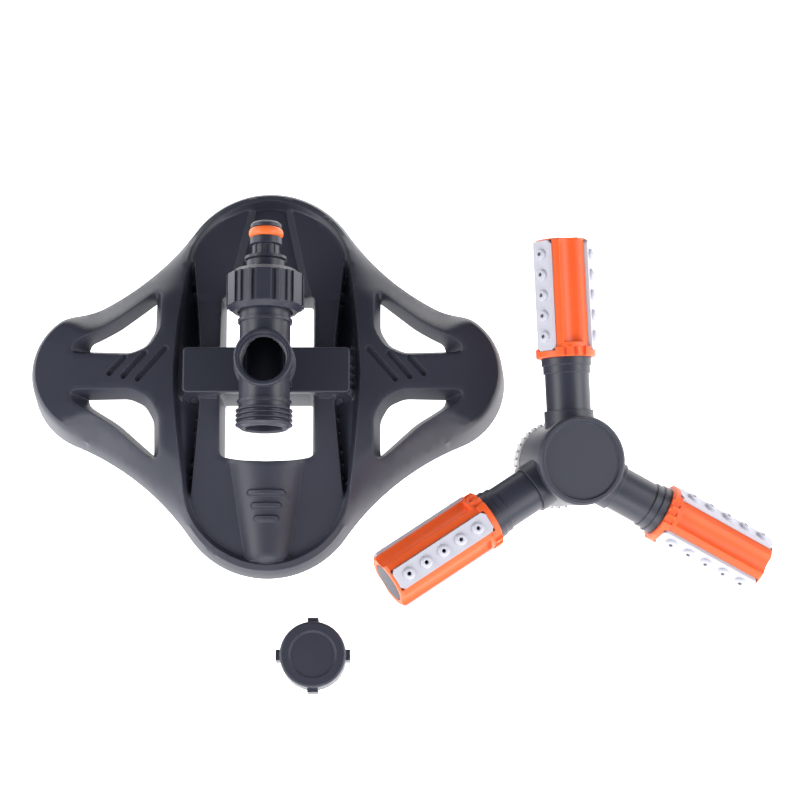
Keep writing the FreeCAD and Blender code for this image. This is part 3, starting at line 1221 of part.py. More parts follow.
# ---------------------------------------------------------------- head end plugs
# A charcoal plug in the tip of the inner pipe keeps the head on its arm.
plug = body("plug_master")
turned(plug, "XZ_Plane", [
    ("head_start+head_long", "0"),
    ("head_start+head_long", "plug_head_r-edge_fine-run_gap"),
    ("head_start+head_long-edge_fine", "plug_head_r-run_gap"),
    ("head_start+head_long-plug_thick+plug_gap", "plug_head_r-run_gap"),
    ("head_start+head_long-plug_thick+plug_gap", "head_bore-run_gap"),
    ("head_start+head_long-plug_thick-plug_gap", "head_bore-run_gap"),
    ("head_start+head_long-plug_thick-plug_gap", "plug_r-run_gap"),
    ("head_start+head_long-plug_thick-plug_long", "plug_r-run_gap"),
    ("head_start+head_long-plug_thick-plug_long", "0"),
], "plug_turn", "H_Axis")

# ---------------------------------------------------------------- arms and heads placed
# Arm 1 points to the back, arm 2 to the front right, arm 3 to the front left.
HEAD_TURNS = (60, 60, 0)
for k in range(3):
    way = turn(UP, 90 - 120 * k)
    head = way.multiply(turn(ALONG, HEAD_TURNS[k]))
    ride_rotor("arm_tube_%d" % (k + 1), copies("arm_placed_%d" % (k + 1), arm_solid, [head]))
    ride_rotor("arm_seal_%d" % (k + 1), copies("arm_seal_placed_%d" % (k + 1), arm_seal, [way]))
    ride_rotor("head_carrier_%d" % (k + 1), copies("carrier_placed_%d" % (k + 1), carrier_solid, [head]))
    ride_rotor("nozzle_strips_%d" % (k + 1), copies("strips_placed_%d" % (k + 1), strip_solid, [
        head.multiply(turn(ALONG, 120 * j)) for j in range(3)]))
    ride_rotor("head_plug_%d" % (k + 1), copies("plug_placed_%d" % (k + 1), plug, [head]))

# ---------------------------------------------------------------- outlet cap
# A charcoal screw cap for the spare outlet, with four grip lugs. It stands on its open mouth.
cap = body("cap_master")
turned(cap, "XZ_Plane", [
    ("hose_crest", "0"),
    ("cap_r", "0"),
    ("cap_r", "cap_high-cap_edge", "cap_edge+0.1", 1),
    ("cap_r-cap_edge", "cap_high"),
    ("cap_dish_r", "cap_high"),
    ("cap_dish_r-cap_dish", "cap_high-cap_dish"),
    ("0", "cap_high-cap_dish"),
    ("0", "cap_high-cap_top"),
    ("cap_seat_r", "cap_high-cap_top"),
    ("cap_seat_r", "cap_high-cap_top-washer_w"),
    ("hose_crest", "cap_high-cap_top-washer_w"),
], "cap_turn")
cap_parts = [cap]
for k in range(4):
    lug = block("cap_lug_%d_block" % k, "cap_r+cap_lug-hose_crest-edge_fine", "cap_lug_w", "cap_high-cap_edge-cap_edge",
                "hose_crest+edge_fine", "-cap_lug_half", "0")
    link = doc.addObject("App::Link", "cap_lug_%d" % k)
    link.LinkedObject = lug
    link.LinkTransform = True
    link.Placement = turn(UP, 90 * k)
    cap_parts.append(link)
cap_place = Placement(Vector(size("cap_x"), size("cap_y"), 0), Rotation())
node("outlet_cap", fuse("cap_solid", cap_parts), cap_place)

# ---------------------------------------------------------------- cap washer
# A flat rubber washer pressed up against the cap's end wall.
cap_washer = body("cap_washer_master")
turned(cap_washer, "XZ_Plane", [
    ("tube_bore", "cap_high-cap_top-washer_w"),
    ("cap_seat_r", "cap_high-cap_top-washer_w"),
    ("cap_seat_r", "cap_high-cap_top"),
    ("tube_bore", "cap_high-cap_top"),
], "cap_washer_turn")
node("cap_washer", copies("cap_washer_placed", cap_washer, [Placement()]), cap_place)

doc.recompute()

# ---------------------------------------------------------------- check and write
bad = [o.Name for o in doc.Objects if "Invalid" in o.State or "Error" in o.State]
if bad:
    raise SystemExit("objects in error: " + ", ".join(bad))
os.makedirs("parts", exist_ok=True)
for thing in nodes:
    shape = Part.getShape(thing)
    if shape.isNull() or not shape.isValid():
        raise SystemExit("bad shape: " + thing.Label)
    shape.exportStep("parts/%s.step" % thing.Label)
    box = shape.BoundBox
    print("%-18s solids %d vol %8.0f  x %7.2f %7.2f  y %7.2f %7.2f  z %6.2f %6.2f" % (
        thing.Label, len(shape.Solids), shape.Volume, box.XMin, box.XMax, box.YMin, box.YMax, box.ZMin, box.ZMax))
print("rotor lean", round(lean, 2), "rise", round(rotor_rise, 2))
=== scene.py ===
import bpy
import bmesh
import math
import numpy as np
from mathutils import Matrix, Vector, geometry


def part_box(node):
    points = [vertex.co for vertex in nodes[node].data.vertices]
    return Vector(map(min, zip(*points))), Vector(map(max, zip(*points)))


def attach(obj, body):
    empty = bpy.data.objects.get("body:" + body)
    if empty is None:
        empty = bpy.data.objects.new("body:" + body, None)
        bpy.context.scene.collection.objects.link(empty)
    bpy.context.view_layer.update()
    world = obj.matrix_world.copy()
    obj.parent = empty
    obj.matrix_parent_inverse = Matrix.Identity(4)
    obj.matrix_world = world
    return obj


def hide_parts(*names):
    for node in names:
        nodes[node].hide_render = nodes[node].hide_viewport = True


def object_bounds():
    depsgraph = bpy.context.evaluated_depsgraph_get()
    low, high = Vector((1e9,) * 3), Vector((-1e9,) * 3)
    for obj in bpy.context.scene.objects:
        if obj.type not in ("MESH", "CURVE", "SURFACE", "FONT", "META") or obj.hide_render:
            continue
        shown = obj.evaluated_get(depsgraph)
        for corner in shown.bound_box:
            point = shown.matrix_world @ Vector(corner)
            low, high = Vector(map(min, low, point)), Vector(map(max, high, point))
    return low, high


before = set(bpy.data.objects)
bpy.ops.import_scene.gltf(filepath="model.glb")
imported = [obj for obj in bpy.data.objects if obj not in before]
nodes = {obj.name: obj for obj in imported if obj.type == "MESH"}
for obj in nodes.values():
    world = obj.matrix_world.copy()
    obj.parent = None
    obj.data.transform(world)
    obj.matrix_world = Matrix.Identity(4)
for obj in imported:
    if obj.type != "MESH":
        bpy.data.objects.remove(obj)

cad_low, cad_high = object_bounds()


# --- Sled base ------------------------------------------------------------------------------------
# The base is one injection-moulded charcoal shell: two level side arms, a skirt that rolls down to the
# floor, a basin for the tee with a half-round tongue in front, four windows and four sloping chutes.
# Its skin has the fine spark-eroded grain of its tool, and a painted highlight in patches along its edges,
# partly wear.
def new_group(name, inputs, outputs):
    group = bpy.data.node_groups.new(name, "ShaderNodeTree")
    for label, kind, value in inputs:
        socket = group.interface.new_socket(label, in_out="INPUT", socket_type=kind)
        socket.default_value = value
    for label, kind in outputs:
        group.interface.new_socket(label, in_out="OUTPUT", socket_type=kind)
    return group, group.nodes.new("NodeGroupInput"), group.nodes.new("NodeGroupOutput")


def mapped(group, value, low_in, high_in, low_out, high_out):
    node = group.nodes.new("ShaderNodeMapRange")
    node.inputs["From Min"].default_value = low_in
    node.inputs["From Max"].default_value = high_in
    node.inputs["To Min"].default_value = low_out
    node.inputs["To Max"].default_value = high_out
    group.links.new(value, node.inputs["Value"])
    return node.outputs["Result"]


def grain_group():
    group, given, result = new_group(
        "tool_grain",
        [("Grain Size", "NodeSocketFloat", 2600.0), ("Smooth", "NodeSocketFloat", 0.4),
         ("Coarse", "NodeSocketFloat", 0.55)],
        [("Height", "NodeSocketFloat"), ("Roughness", "NodeSocketFloat"), ("Cloud", "NodeSocketFloat")],
    )
    place = group.nodes.new("ShaderNodeTexCoord")
    fine = group.nodes.new("ShaderNodeTexNoise")
    fine.inputs["Detail"].default_value = 3.0
    group.links.new(place.outputs["Object"], fine.inputs["Vector"])
    group.links.new(given.outputs["Grain Size"], fine.inputs["Scale"])
    cloud = group.nodes.new("ShaderNodeTexNoise")
    cloud.inputs["Scale"].default_value = 26.0
    cloud.inputs["Detail"].default_value = 5.0
    cloud.inputs["Roughness"].default_value = 0.6
    group.links.new(place.outputs["Object"], cloud.inputs["Vector"])
    mix = group.nodes.new("ShaderNodeMix")
    group.links.new(cloud.outputs["Fac"], mix.inputs["Factor"])
    group.links.new(given.outputs["Smooth"], mix.inputs["A"])
    group.links.new(given.outputs["Coarse"], mix.inputs["B"])
    speck = group.nodes.new("ShaderNodeMath")
    speck.operation = "MULTIPLY_ADD"
    speck.inputs[1].default_value = 0.12
    group.links.new(fine.outputs["Fac"], speck.inputs[0])
    group.links.new(mix.outputs["Result"], speck.inputs[2])
    group.links.new(fine.outputs["Fac"], result.inputs["Height"])
    group.links.new(speck.outputs["Value"], result.inputs["Roughness"])
    group.links.new(cloud.outputs["Fac"], result.inputs["Cloud"])
    return group


def edge_group():
    group, given, result = new_group(
        "edge_sheen_and_wear",
        [("Radius", "NodeSocketFloat", 0.0006), ("Patches", "NodeSocketFloat", 160.0)],
        [("Mask", "NodeSocketFloat"), ("Rounded", "NodeSocketVector")],
    )
    rounded = group.nodes.new("ShaderNodeBevel")
    rounded.samples = 4
    group.links.new(given.outputs["Radius"], rounded.inputs["Radius"])
    flat = group.nodes.new("ShaderNodeNewGeometry")
    facing = group.nodes.new("ShaderNodeVectorMath")
    facing.operation = "DOT_PRODUCT"
    group.links.new(rounded.outputs["Normal"], facing.inputs[0])
    group.links.new(flat.outputs["Normal"], facing.inputs[1])
    # Painted highlight, partly wear: edges found by the bevel are marked for the lighter edge colour,
    # broken into noise patches.
    edge = mapped(group, facing.outputs["Value"], 0.995, 0.86, 0.0, 1.0)
    place = group.nodes.new("ShaderNodeTexCoord")
    patches = group.nodes.new("ShaderNodeTexNoise")
    patches.inputs["Detail"].default_value = 4.0
    group.links.new(place.outputs["Object"], patches.inputs["Vector"])
    group.links.new(given.outputs["Patches"], patches.inputs["Scale"])
    patch_share = mapped(group, patches.outputs["Fac"], 0.35, 0.65, 0.35, 1.0)
    both = group.nodes.new("ShaderNodeMath")
    both.operation = "MULTIPLY"
    group.links.new(edge, both.inputs[0])
    group.links.new(patch_share, both.inputs[1])
    group.links.new(both.outputs["Value"], result.inputs["Mask"])
    group.links.new(rounded.outputs["Normal"], result.inputs["Rounded"])
    return group


TOOL_GRAIN = grain_group()
EDGE_SHEEN_AND_WEAR = edge_group()


def moulded(name, dark, light, edge, smooth, coarse, grain_size=2600.0, grain_depth=0.00002, radius=0.0005):
    material = bpy.data.materials.new(name)
    material.use_nodes = True
    tree = material.node_tree
    shader = tree.nodes["Principled BSDF"]
    grain = tree.nodes.new("ShaderNodeGroup")
    grain.node_tree = TOOL_GRAIN
    grain.inputs["Grain Size"].default_value = grain_size
    grain.inputs["Smooth"].default_value = smooth
    grain.inputs["Coarse"].default_value = coarse
    edges = tree.nodes.new("ShaderNodeGroup")
    edges.node_tree = EDGE_SHEEN_AND_WEAR
    edges.inputs["Radius"].default_value = radius
    tone = tree.nodes.new("ShaderNodeMix")
    tone.data_type = "RGBA"
    tone.inputs["A"].default_value = (*dark, 1.0)
    tone.inputs["B"].default_value = (*light, 1.0)
    tree.links.new(grain.outputs["Cloud"], tone.inputs["Factor"])
    # Painted edge highlight, partly wear: where the edge mask is set, the tone is mixed toward the lighter
    # edge colour.
    edge_sheen_mix = tree.nodes.new("ShaderNodeMix")
    edge_sheen_mix.data_type = "RGBA"
    edge_sheen_mix.inputs["B"].default_value = (*edge, 1.0)
    tree.links.new(edges.outputs["Mask"], edge_sheen_mix.inputs["Factor"])
    tree.links.new(tone.outputs["Result"], edge_sheen_mix.inputs["A"])
    tree.links.new(edge_sheen_mix.outputs["Result"], shader.inputs["Base Color"])
    tree.links.new(grain.outputs["Roughness"], shader.inputs["Roughness"])
    bump = tree.nodes.new("ShaderNodeBump")
    bump.inputs["Strength"].default_value = 0.35
    bump.inputs["Distance"].default_value = grain_depth
    tree.links.new(grain.outputs["Height"], bump.inputs["Height"])
    tree.links.new(edges.outputs["Rounded"], bump.inputs["Normal"])
    tree.links.new(bump.outputs["Normal"], shader.inputs["Normal"])
    return material


def finish_node(name, material):
    slots = nodes[name].material_slots
    for slot in slots:
        slot.material = material
    if not slots:
        nodes[name].data.materials.append(material)


# Each material's *_EDGE colour is a painted highlight laid along its edges in patches, partly wear.
CHARCOAL_DARK = (0.023, 0.026, 0.041)
CHARCOAL_LIGHT = (0.032, 0.035, 0.055)
CHARCOAL_EDGE = (0.098, 0.102, 0.136)


def charcoal(name, smooth, coarse, grain_size=2600.0, radius=0.0005):
    tones = (CHARCOAL_DARK, CHARCOAL_LIGHT, CHARCOAL_EDGE)
    return moulded(name, *tones, smooth, coarse, grain_size, radius=radius)


shell_charcoal = charcoal("shell_charcoal", 0.36, 0.46)

MM = 0.001
_, base_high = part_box("base_shell")
HALF_WIDE = base_high[0] / MM
HALF_DEEP = base_high[1] / MM
BASE_TOP = base_high[2] / MM
SIDE_LOBE_R = 33.0
END_LOBE_R = 44.8
FLANK_R = 124.0
SHELL_WALL = 2.4


def spaced(points, step):
    placed = []
    for i, here in enumerate(points):
        there = points[(i + 1) % len(points)]
        count = max(1, round((there - here).length / step))
        placed += [here.lerp(there, k / count) for k in range(count)]
    return placed


MOST_CUT = 0.45
LOOP_STEP = 2.6


def rounded(corners, radius):
    """The closed outline through the corners, each corner eased off, in short even steps."""
    made = []
    for i, corner in enumerate(corners):
        before = corners[i - 1] - corner
        after = corners[(i + 1) % len(corners)] - corner
        cut_before = min(radius, MOST_CUT * before.length)
        cut_after = min(radius, MOST_CUT * after.length)
        start = corner + before.normalized() * cut_before
        end = corner + after.normalized() * cut_after
        for k in range(6):
            t = k / 5
            made.append(start * (1 - t) ** 2 + corner * 2 * t * (1 - t) + end * t ** 2)
    return spaced(made, LOOP_STEP)


def outline_loop():
    side = Vector((HALF_WIDE - SIDE_LOBE_R, 0.0))
    end = Vector((0.0, HALF_DEEP - END_LOBE_R))
    gap = (end - side).length
    to_side = FLANK_R + SIDE_LOBE_R
    to_end = FLANK_R + END_LOBE_R
    along = (to_side ** 2 - to_end ** 2 + gap ** 2) / (2 * gap)
    way = (end - side) / gap
    hollow = side + way * along + Vector((-way.y, way.x)) * -math.sqrt(to_side ** 2 - along ** 2)
    stretches = []
    for mid, radius, first, last in (
        (side, SIDE_LOBE_R, 0.0, math.atan2(hollow.y - side.y, hollow.x - side.x)),
        (hollow, FLANK_R, math.atan2(side.y - hollow.y, side.x - hollow.x),
         math.atan2(end.y - hollow.y, end.x - hollow.x)),
        (end, END_LOBE_R, math.atan2(hollow.y - end.y, hollow.x - end.x), math.pi / 2),
    ):
        turn = (last - first + math.pi) % (2 * math.pi) - math.pi
        count = max(4, round(abs(turn) * radius / 2.2))
        for k in range(count):
            angle = first + turn * k / count
            stretches.append(mid + Vector((math.cos(angle), math.sin(angle))) * radius)
    quarter = stretches + [Vector((0.0, HALF_DEEP))]
    left = [Vector((-p.x, p.y)) for p in reversed(quarter[:-1])]
    top = quarter + left
    return top + [Vector((p.x, -p.y)) for p in reversed(top[1:-1])]


CREST_SIDE = ((44.0, 0.0), (43.4, 13.0), (42.0, 30.0), (39.4, 54.0), (37.8, 63.0))
CREST_END = ((33.0, 72.0), (25.0, 80.2), (13.0, 86.6), (0.0, 89.2))
CREST_ROUND = 5.0


def crest_loop():
    """The basin's rim, from a quarter of it that is mirrored twice."""
    quarter = [Vector(p) for p in CREST_SIDE + CREST_END]
    left = [Vector((-p.x, p.y)) for p in reversed(quarter[:-1])]
    top = quarter + left
    ring = top + [Vector((p.x, -p.y)) for p in reversed(top[1:-1])]
    return rounded(ring, CREST_ROUND)


def mirrored(corners, side_x, side_y):
    return [Vector((x * side_x, y * side_y)) for x, y in corners]


WINDOW_TIP = Vector((54.6, 39.6))
WINDOW_OUTER = Vector((90.8, 13.6))
WINDOW_BOW = 1.9
WINDOW_ROUND = 3.4


def window_loop(side_x, side_y):
    """A side window: straight along the arm and the basin, bowed along the skirt."""
    chord = (WINDOW_OUTER - WINDOW_TIP).normalized()
    bow = (WINDOW_TIP + WINDOW_OUTER) / 2 + Vector((chord.y, -chord.x)) * WINDOW_BOW
    basin_side = [(50.4, 21.0), (50.4, 37.6), (51.8, 39.8)]
    arm_side = [(91.4, 9.0), (64.0, 8.4), (55.4, 12.4)]
    corners = basin_side + [WINDOW_TIP, bow, WINDOW_OUTER] + arm_side
    return rounded(mirrored(corners, side_x, side_y), WINDOW_ROUND)


BAY_NEAR = 11.4
BAY_FAR = 57.0
BAY_DEEP = 7.0
BAY_FADES = 14.0
BAY_PAST = 2.0
BAY_END_WALL = 0.8
RAIL_WALL = 1.2
RAIL_HALF = 31.2
RAIL_SPREAD = 0.098
RAIL_FROM = 12.2
CREST_STEP = 0.4
LEAST_CHUTE = 0.8


def rail_edge(y):
    """Outer edge of a rail beside the middle opening, y from the middle."""
    return RAIL_HALF + RAIL_SPREAD * (y - RAIL_FROM)


def crest_side(y):
    return np.interp(y, [p[1] for p in CREST_SIDE], [p[0] for p in CREST_SIDE])


def rail_line(side_x, side_y, outward):
    ys = np.linspace(BAY_NEAR, BAY_FAR - 3.0 * outward, 22)
    return [Vector((side_x * (float(rail_edge(y)) + outward), side_y * float(y))) for y in ys]


def chute_wide(y):
    return crest_side(y) - CREST_STEP - rail_edge(y) - RAIL_WALL


def chute_line(side_x, side_y, share):
    ys = np.linspace(BAY_NEAR, BAY_FAR - 4.0, 22)
    xs = crest_side(ys) - CREST_STEP - share * chute_wide(ys)
    return [Vector((side_x * float(x), side_y * float(y))) for x, y in zip(xs, ys)]


def capsule(a, b, radius):
    way = (b - a).normalized()
    side = Vector((-way.y, way.x))
    ring = []
    for mid, start in ((b, -1), (a, 1)):
        for k in range(7):
            angle = math.pi * k / 6
            across = side * (start * math.cos(angle) * radius)
            ring.append(mid + across + way * (-start * math.sin(angle) * radius))
    return spaced(ring, 2.0)


WELL_X = 22.0
WELL_NEAR = 9.6
WELL_BACK = 38.6
well_corners = ((WELL_X, WELL_NEAR), (WELL_X, WELL_BACK), (-WELL_X, WELL_BACK), (-WELL_X, WELL_NEAR))
well_back = rounded([Vector(p) for p in well_corners], 3.0)
well_corners = (
    (WELL_X, -WELL_NEAR), (-WELL_X, -WELL_NEAR), (-WELL_X, -38.2), (-11.0, -41.0), (0.0, -41.8),
    (11.0, -41.0), (WELL_X, -38.2),
)
well_front = rounded([Vector(p) for p in well_corners], 2.6)
QUARTERS = ((1, 1), (-1, 1), (-1, -1), (1, -1))
outline = outline_loop()
crest = crest_loop()
windows = [window_loop(sx, sy) for sx, sy in QUARTERS]
holes = windows + [well_back, well_front]
SLOT_R = 1.5
SLOTS = (((47.6, 11.0), (60.2, -3.4)), ((57.2, 9.0), (67.0, -2.2)), ((66.6, 7.0), (73.6, -0.8)))
SLOT_WALL = 0.6
SLOT_DEEP = 1.6


def slot_loops(radius):
    return [
        capsule(Vector((sx * a[0], a[1])), Vector((sx * b[0], b[1])), radius)
        for sx in (1, -1)
        for a, b in SLOTS
    ]


slots = slot_loops(SLOT_R)
BARS = ((-56.0, 7.6), (-61.9, 5.8), (-67.8, 4.6))
BAR_R = 1.7
BAR_WALL = 0.8
BAR_HIGH = 1.2


def bar_loops(radius):
    return [capsule(Vector((-half, y)), Vector((half, y)), radius) for y, half in BARS]


bars = bar_loops(BAR_R)


def inside_distance(points, loop):
    """How far each point lies inside the closed loop; outside it is negative."""
    nearest = np.full(len(points), 1e9)
    inside = np.zeros(len(points), bool)
    for i, here in enumerate(loop):
        there = loop[(i + 1) % len(loop)]
        start = np.array(here)
        way = np.array(there) - start
        along = np.clip(((points - start) @ way) / max(way @ way, 1e-12), 0.0, 1.0)
        nearest = np.minimum(nearest, np.linalg.norm(points - start - along[:, None] * way, axis=1))
        if here.y != there.y:
            between = (points[:, 1] >= min(here.y, there.y)) & (points[:, 1] < max(here.y, there.y))
            cross = here.x + (points[:, 1] - here.y) * (there.x - here.x) / (there.y - here.y)
            inside ^= between & (points[:, 0] < cross)
    return np.where(inside, nearest, -nearest)


def eased(value):
    value = np.clip(value, 0.0, 1.0)
    return value * value * (3.0 - 2.0 * value)


def blended(low, high, share):
    return low + (high - low) * share


ARM_HALF = 13.0
END_CREST = 9.0
RIM_ROUND = 1.2
FLANK_WALL = 10.0
LOBE_WALL = 22.0
END_WALL = 3.4
FLANK_LEAN = 0.2
LOBE_LEAN = 0.08
FLANK_ROLL = 17.0
LOBE_ROLL = 2.4
END_ROLL = 3.2
LOBE_FROM = 78.0
LOBE_BLEND = 20.0
END_FROM = 42.0
END_BLEND = 30.0


def skirt(points):
    """The skirt's upright foot and the roll above it, with how much each point is a lobe or an end."""
    lobe = eased((np.abs(points[:, 0]) - LOBE_FROM) / LOBE_BLEND)
    end = eased((np.abs(points[:, 1]) - END_FROM) / END_BLEND)
    wall_top = blended(blended(FLANK_WALL, LOBE_WALL, lobe), END_WALL, end)
    wall_wide = blended(FLANK_LEAN, LOBE_LEAN, lobe) * wall_top
    roll = blended(blended(FLANK_ROLL, LOBE_ROLL, lobe), END_ROLL, end)
    return wall_top, wall_wide, roll, lobe, end


BASIN_TOP = 24.4
BASIN_LOW = 4.6
BASIN_FROM = 11.0
BASIN_LONG = 80.0
BASIN_DISH = 0.1
SADDLE_SEAT_X = 38.6
SADDLE_SEAT_Y = 10.3
SADDLE_SEAT_GAP = 0.1


def basin_floor(y):
    return blended(BASIN_TOP, BASIN_LOW, np.clip((y - BASIN_FROM) / BASIN_LONG, 0.0, 1.0))


TONGUE_FROM = 36.0
TONGUE_LONG = 50.0
TONGUE_WIDE = 25.6
TONGUE_NARROW = 11.8
NOSE_FROM = 84.6
NOSE_LONG = 5.0


def tongue_radius(y):
    front = -y
    run = np.clip((front - TONGUE_FROM) / TONGUE_LONG, 0.0, 1.0)
    radius = blended(TONGUE_WIDE, TONGUE_NARROW, run)
    nose = np.clip((front - NOSE_FROM) / NOSE_LONG, 0.0, 1.0)
    return radius * np.sqrt(np.maximum(1.0 - nose ** 2, 0.0))


TROUGH_DEEP = 3.4
TROUGH_WALL = 3.0
TROUGH_FROM = 30.0
DISH_FROM = 38.0
CREST_WALL = 2.4


def trough_half(y):
    """Half width of the trough that clears the hose nipple, behind the middle opening."""
    return np.interp(y, (38.0, 46.0, 80.0, 90.0), (21.4, 18.4, 11.2, 9.4))


def trough_side(side, inward):
    ys = np.linspace(39.4, 87.4, 22)
    halves = trough_half(ys) - inward
    return [Vector((side * float(half), float(y))) for half, y in zip(halves, ys)]


def base_height(points, fine=True):
    x = np.abs(points[:, 0])
    y = np.abs(points[:, 1])
    edge = np.maximum(inside_distance(points, outline), 0.0)
    fall = eased((y - ARM_HALF) / (HALF_DEEP - ARM_HALF))
    ridge = blended(BASE_TOP, END_CREST, fall)
    wall_top, wall_wide, roll, _, _ = skirt(points)
    share = np.clip((edge - wall_wide) / roll, 0.0, 1.0)
    height = wall_top + (ridge - wall_top) * np.sin(share * math.pi / 2)
    height = np.where(edge < wall_wide, wall_top * edge / np.maximum(wall_wide, 1e-6), height)
    inner = inside_distance(points, crest)
    under_saddle = (y < SADDLE_SEAT_Y) & (x < SADDLE_SEAT_X)
    ramp = np.where(under_saddle, BASE_TOP - SADDLE_SEAT_GAP, basin_floor(y))
    behind = points[:, 1] > BASIN_FROM
    dish = BASIN_DISH * np.maximum(x - trough_half(y), 0.0)
    ramp += np.where(behind & (y > DISH_FROM), dish, 0.0)
    trough = TROUGH_DEEP * eased((trough_half(y) - x) / TROUGH_WALL)
    ramp -= np.where(behind & (y > TROUGH_FROM), trough, 0.0)
    height = blended(height, np.minimum(ramp, height), eased(inner / CREST_WALL))
    radius = tongue_radius(points[:, 1])
    hump = np.sqrt(np.maximum(radius ** 2 - x ** 2, 0.0))
    on_tongue = (points[:, 1] < -TONGUE_FROM) & (inner > 0.0)
    height = np.where(on_tongue, np.maximum(height, hump), height)
    past_rail = eased((x - rail_edge(y)) / RAIL_WALL)
    before_crest = eased((crest_side(y) - CREST_STEP - x) / np.maximum(chute_wide(y), LEAST_CHUTE))
    along = eased((y - BAY_NEAR) / BAY_END_WALL) * eased((BAY_FAR + BAY_PAST - y) / BAY_FADES)
    height = height - BAY_DEEP * past_rail * before_crest * along
    if fine:
        for slot in slots:
            height -= SLOT_DEEP * eased(inside_distance(points, slot) / SLOT_WALL)
        for bar in bars:
            height += BAR_HIGH * eased(inside_distance(points, bar) / BAR_WALL)
        for hole in holes:
            away = np.clip(-inside_distance(points, hole) / RIM_ROUND, 0.0, 1.0)
            height -= RIM_ROUND * (1.0 - np.sqrt(1.0 - (1.0 - away) ** 2))
    return np.clip(height, 0.0, BASE_TOP)


def grown(loop, amount):
    moved = []
    area = sum(loop[i - 1].x * p.y - p.x * loop[i - 1].y for i, p in enumerate(loop))
    outward = 1.0 if area > 0 else -1.0
    for i, here in enumerate(loop):
        before = (here - loop[i - 1]).normalized()
        after = (loop[(i + 1) % len(loop)] - here).normalized()
        way = (before + after).normalized()
        moved.append(here + Vector((way.y, -way.x)) * outward * amount)
    return moved


def rolled_lines(share, least_side, least_end):
    """Lines along the skirt at that share of its roll, only where it is that much a side lobe or an end."""
    _, wall_wide, roll, lobe, end = skirt(np.array([tuple(p) for p in outline]))
    wide = wall_wide + share * roll
    lines = [[]]
    for i, here in enumerate(outline):
        way = (outline[(i + 1) % len(outline)] - outline[i - 1]).normalized()
        if lobe[i] >= least_side or end[i] >= least_end:
            lines[-1].append(here + Vector((-way.y, way.x)) * wide[i])
        elif lines[-1]:
            lines.append([])
    return [line for line in lines if len(line) > 1]


TONGUE_LINE_FROM = -42.6
TOP_STEP = 2.2
UNDER_STEP = 3.4
LEAST_RISE = 0.5


def tongue_side(side):
    """The line where one side of the tongue rises from the basin's floor."""
    line = []
    for k in range(20):
        y = TONGUE_LINE_FROM - TOP_STEP * k
        radius = float(tongue_radius(np.array([y]))[0])
        floor_here = float(basin_floor(-y))
        if radius > floor_here + LEAST_RISE:
            line.append(Vector((side * math.sqrt(radius ** 2 - floor_here ** 2), y)))
    return line


def triangulated(rim, cuts, rings, lines, step):
    """A sheet of triangles inside rim and outside cuts, with an edge along every ring and line."""
    coords = []
    edges = []
    starts = []
    for ring in [rim] + cuts + rings:
        starts.append(len(coords))
        count = len(ring)
        edges += [(len(coords) + i, len(coords) + (i + 1) % count) for i in range(count)]
        coords += ring
    for line in lines:
        edges += [(len(coords) + i, len(coords) + i + 1) for i in range(len(line) - 1)]
        coords += line
    fixed = np.array([tuple(p) for p in coords])

    def spread(gap):
        xs = np.arange(-HALF_WIDE, HALF_WIDE, gap)
        ys = np.arange(-HALF_DEEP, HALF_DEEP, gap * 0.866)
        grid = np.array([(x + (j % 2) * gap / 2, y) for j, y in enumerate(ys) for x in xs])
        grid = grid[inside_distance(grid, rim) > 0.45 * gap]
        for cut in cuts:
            grid = grid[inside_distance(grid, cut) < -0.45 * gap]
        return grid

    def clear_of(grid, others, gap):
        keep = np.ones(len(grid), bool)
        for first in range(0, len(grid), 500):
            part = grid[first:first + 500]
            apart = np.linalg.norm(part[:, None, :] - others[None, :, :], axis=2).min(axis=1)
            keep[first:first + 500] = apart > gap
        return grid[keep]

    large = clear_of(spread(step), fixed, 0.62 * step)
    coords += [Vector(p) for p in large]
    flat, _, faces, origins, _, _ = geometry.delaunay_2d_cdt(coords, edges, [], 0, 1e-6)
    place = {}
    for made, origin in enumerate(origins):
        for given in origin:
            place[given] = made
    points = np.array([tuple(p) for p in flat])
    middles = np.array([points[list(face)].mean(axis=0) for face in faces])
    keep = inside_distance(middles, rim) > 0
    for cut in cuts:
        keep &= inside_distance(middles, cut) < 0
    kept = [face for face, wanted in zip(faces, keep) if wanted]
    loops = []
    for ring, start in zip([rim] + cuts, starts):
        loops.append([place[start + i] for i in range(len(ring))])
    return points, kept, loops


LIP_DEEP = 9.5
LIP_LEAN = 2.8
LIP_END = 83.0
LIP_END_LEAN = 0.8
WELL_LEAN = 1.2
HOLE_WALL = 2.0
UNDER_LEAST = 0.8
SHARP_TURN = math.radians(32.0)


def far_end_leaned(point):
    """A window's outer end leans in more than its long sides."""
    past = max(abs(point[0]) - LIP_END, 0.0)
    return (math.copysign(abs(point[0]) - LIP_END_LEAN * past, point[0]), point[1])


